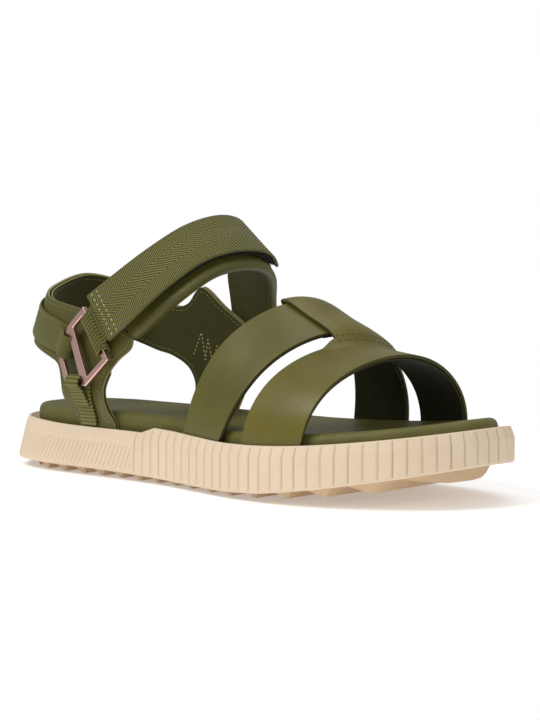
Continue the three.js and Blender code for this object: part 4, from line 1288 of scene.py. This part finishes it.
# The outline moved inwards.
def insetLine(outline, inset):
    before = np.roll(outline, 3, axis=0)
    after = np.roll(outline, -3, axis=0)
    tangent = after - before
    tangent /= np.linalg.norm(tangent, axis=1)[:, None]
    area = np.sum(outline[:, 0] * np.roll(outline[:, 1], -1) - np.roll(outline[:, 0], -1) * outline[:, 1])
    side = 1 if area > 0 else -1
    return outline + side * inset * np.column_stack([-tangent[:, 1], tangent[:, 0]])


def quarterStitches():
    lines, line = [], []
    for s, z in insetLine(quarterOutline, stitchPlaces["quarterInset"]):
        if z > rimAt(along(0.3)) + 0.5:
            line.append((s, z))
        elif line:
            lines.append(line)
            line = []
    if line:
        lines.append(line)
    outside = [[wrapPoint(s, z, quarterStack + 0.02) for s, z in one] for one in lines if len(one) > 4]
    stitchRows("quarter_stitches", outside, paleThread, "sandal", stitchSizes["quarter"])
    inside = [[wrapPoint(s, z, -0.02) for s, z in one if s > rounds(lateral, along(0.3))] for one in lines]
    inside = [one for one in inside if len(one) > 4]
    stitchRows("quarter_inner_stitches", inside, paleThread, "sandal", stitchSizes["quarter"])
    # Anchor stitch on the inner side of the foot: a small zigzag.
    corners = stitchPlaces["anchor"]
    zigzag = []
    for (xa, za), (xb, zb) in zip(corners, corners[1:]):
        zigzag += [(lerp(xa, xb, t), lerp(za, zb, t)) for t in np.linspace(0, 1, 6)[:-1]]
    zigzag.append(corners[-1])
    anchor = [wrapPoint(rounds(medial, x), z, -0.1) for x, z in zigzag]
    stitchRows("anchor_stitch", [anchor], lightThread, "sandal", stitchSizes["anchor"])


def closureStitches():
    lines = []
    for u in stitchPlaces["closure"]:
        lines.append([offsetPoint(ankleSurface, u, v, 1.42) for v in np.linspace(0.07, 0.93, 30)])
    stitchRows("closure_stitches", lines, lightThread, "closure", stitchSizes["closure"])


def tongueStitches():
    half = tongueShare * 0.9
    lines = []
    for place in stitchPlaces["tongue"]:
        lines.append([tonguePoint(u, place) + tongueNormal(u, place) * 0.72
                      for u in np.linspace(tongue["centre"] - half, tongue["centre"] + half, 30)])
    stitchRows("tongue_stitches", lines, darkThread, "sandal", stitchSizes["tongue"])


def tongueNormal(u, place):
    lengthways = tonguePoint(u, place + 0.01) - tonguePoint(u, place - 0.01)
    across = tonguePoint(u + 0.002, place) - tonguePoint(u - 0.002, place)
    normal = unit(np.cross(lengthways, across))
    return normal if normal[2] > 0 else -normal


def padStitches():
    line = [offsetPoint(ankleSurface, u, stitchPlaces["padAcross"], padOuter + 0.05)
            for u in np.linspace(ankle["pad"][0] + 0.02, 0.95, 140)]
    stitchRows("pad_stitches", [line], darkThread, "sandal", stitchSizes["pad"])


def heelTapeStitches():
    rows = heelTapeRows
    offset = upper["webbing"] / 2
    lines = []
    for column in stitchPlaces["tapeColumns"]:
        line = []
        for i in range(*stitchPlaces["tapeRows"]):
            a = rows[i + 1][column] - rows[i - 1][column]
            b = rows[i][10] - rows[i][0]
            normal = unit(np.cross(a, b))
            out = rows[i][column] - np.array([along(heelRound["centre"]), 0, rows[i][column][2]])
            normal = normal if np.dot(normal, out) > 0 else -normal
            line.append(rows[i][column] + normal * offset)
        lines.append(line)
    stitchRows("heel_tape_stitches", lines, paleThread, "sandal", stitchSizes["heelTape"])


quarterStitches()
closureStitches()
tongueStitches()
padStitches()
heelTapeStitches()
print("stitches made")

# CAD nodes that stay.
# The tread's material carries painted shade.
for node, material in (("tread", treadRubberPaintedShade), ("insole_board", boardFibre), ("footbed_foam", footFoam)):
    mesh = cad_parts[node].data
    mesh.materials.clear()
    mesh.materials.append(material)

# Floor, light and camera.
stage = {"camera": (0.5095, -0.5461, 0.09605), "pitch": 86.65, "turn": 42.03, "lens": 86.2, "floor": 1.5,
         "fade": (0.16, 0.34), "skyLight": 0.42,
         "lamps": {"key": {"place": (-0.25, -0.75, 0.85), "aim": (0, 0, 0.04), "size": (0.6, 0.4), "power": 6},
                   "fill": {"place": (0.9, -0.2, 0.5), "aim": (0, 0, 0.05), "size": (0.8, 0.6), "power": 1.6},
                   "top": {"place": (0.05, 0.1, 1.1), "aim": (0, 0, 0), "size": (1.0, 0.8), "power": 3.5}}}


def makeStage():
    size = stage["floor"]
    mesh = bpy.data.meshes.new("floor")
    corners = [(x, y, -0.0002) for x, y in ((-size, -size), (size, -size), (size, size), (-size, size))]
    mesh.from_pydata(corners, [], [(0, 1, 2, 3)])
    n = Nodes("pale_floor")
    speck = n.noise(8, 2)
    base = n.mix(n.range((speck, 0), 0.0, 0.1, 0.3, 0.7), colour("#ffffff"), colour("#f2f2f2"))
    floor = newObject("floor", mesh, n.finish(base, 0.9, Emission_Color=(1, 1, 1, 1), Emission_Strength=0.25))
    far = n.add("ShaderNodeVectorMath", operation="LENGTH")
    n.link(n.coordinates(), 0, far, 0)
    clear, blend = n.add("ShaderNodeBsdfTransparent"), n.add("ShaderNodeMixShader")
    fade = n.range((far, 1), 0.0, 1.0, *stage["fade"])
    n.link(fade[0], 0, blend, 0)
    n.link(n.shader, 0, blend, 1)
    n.link(clear, 0, blend, 2)
    n.link(blend, 0, n.output, 0)
    world = bpy.data.worlds.new("soft studio")
    bpy.context.scene.world = world
    world.use_nodes = True
    sky = world.node_tree.nodes["Background"]
    sky.inputs["Color"].default_value = (1.0, 1.0, 1.0, 1.0)
    seen = world.node_tree.nodes.new("ShaderNodeLightPath")
    level = world.node_tree.nodes.new("ShaderNodeMapRange")
    level.inputs["To Min"].default_value = stage["skyLight"]
    level.inputs["To Max"].default_value = 1.0
    world.node_tree.links.new(seen.outputs["Is Camera Ray"], level.inputs["Value"])
    world.node_tree.links.new(level.outputs[0], sky.inputs["Strength"])


def addLamp(name, place, aim, size, power):
    light = bpy.data.lights.new(name, "AREA")
    light.shape = "RECTANGLE"
    light.size, light.size_y = size
    light.energy = power
    lamp = bpy.data.objects.new(name, light)
    lamp.location = place
    lamp.rotation_mode = "QUATERNION"
    lamp.rotation_quaternion = (Vector(aim) - Vector(place)).to_track_quat("-Z", "Y")
    bpy.context.scene.collection.objects.link(lamp)


def makeCamera():
    data = bpy.data.cameras.new("camera")
    data.lens = stage["lens"]
    data.sensor_width = 36
    data.clip_start = 0.01
    camera = bpy.data.objects.new("camera", data)
    camera.location = stage["camera"]
    camera.rotation_euler = (math.radians(stage["pitch"]), 0, math.radians(stage["turn"]))
    bpy.context.scene.collection.objects.link(camera)
    bpy.context.scene.camera = camera


makeStage()
for lampName, settings in stage["lamps"].items():
    addLamp(lampName, **settings)
makeCamera()
bpy.context.scene.view_settings.view_transform = "Standard"
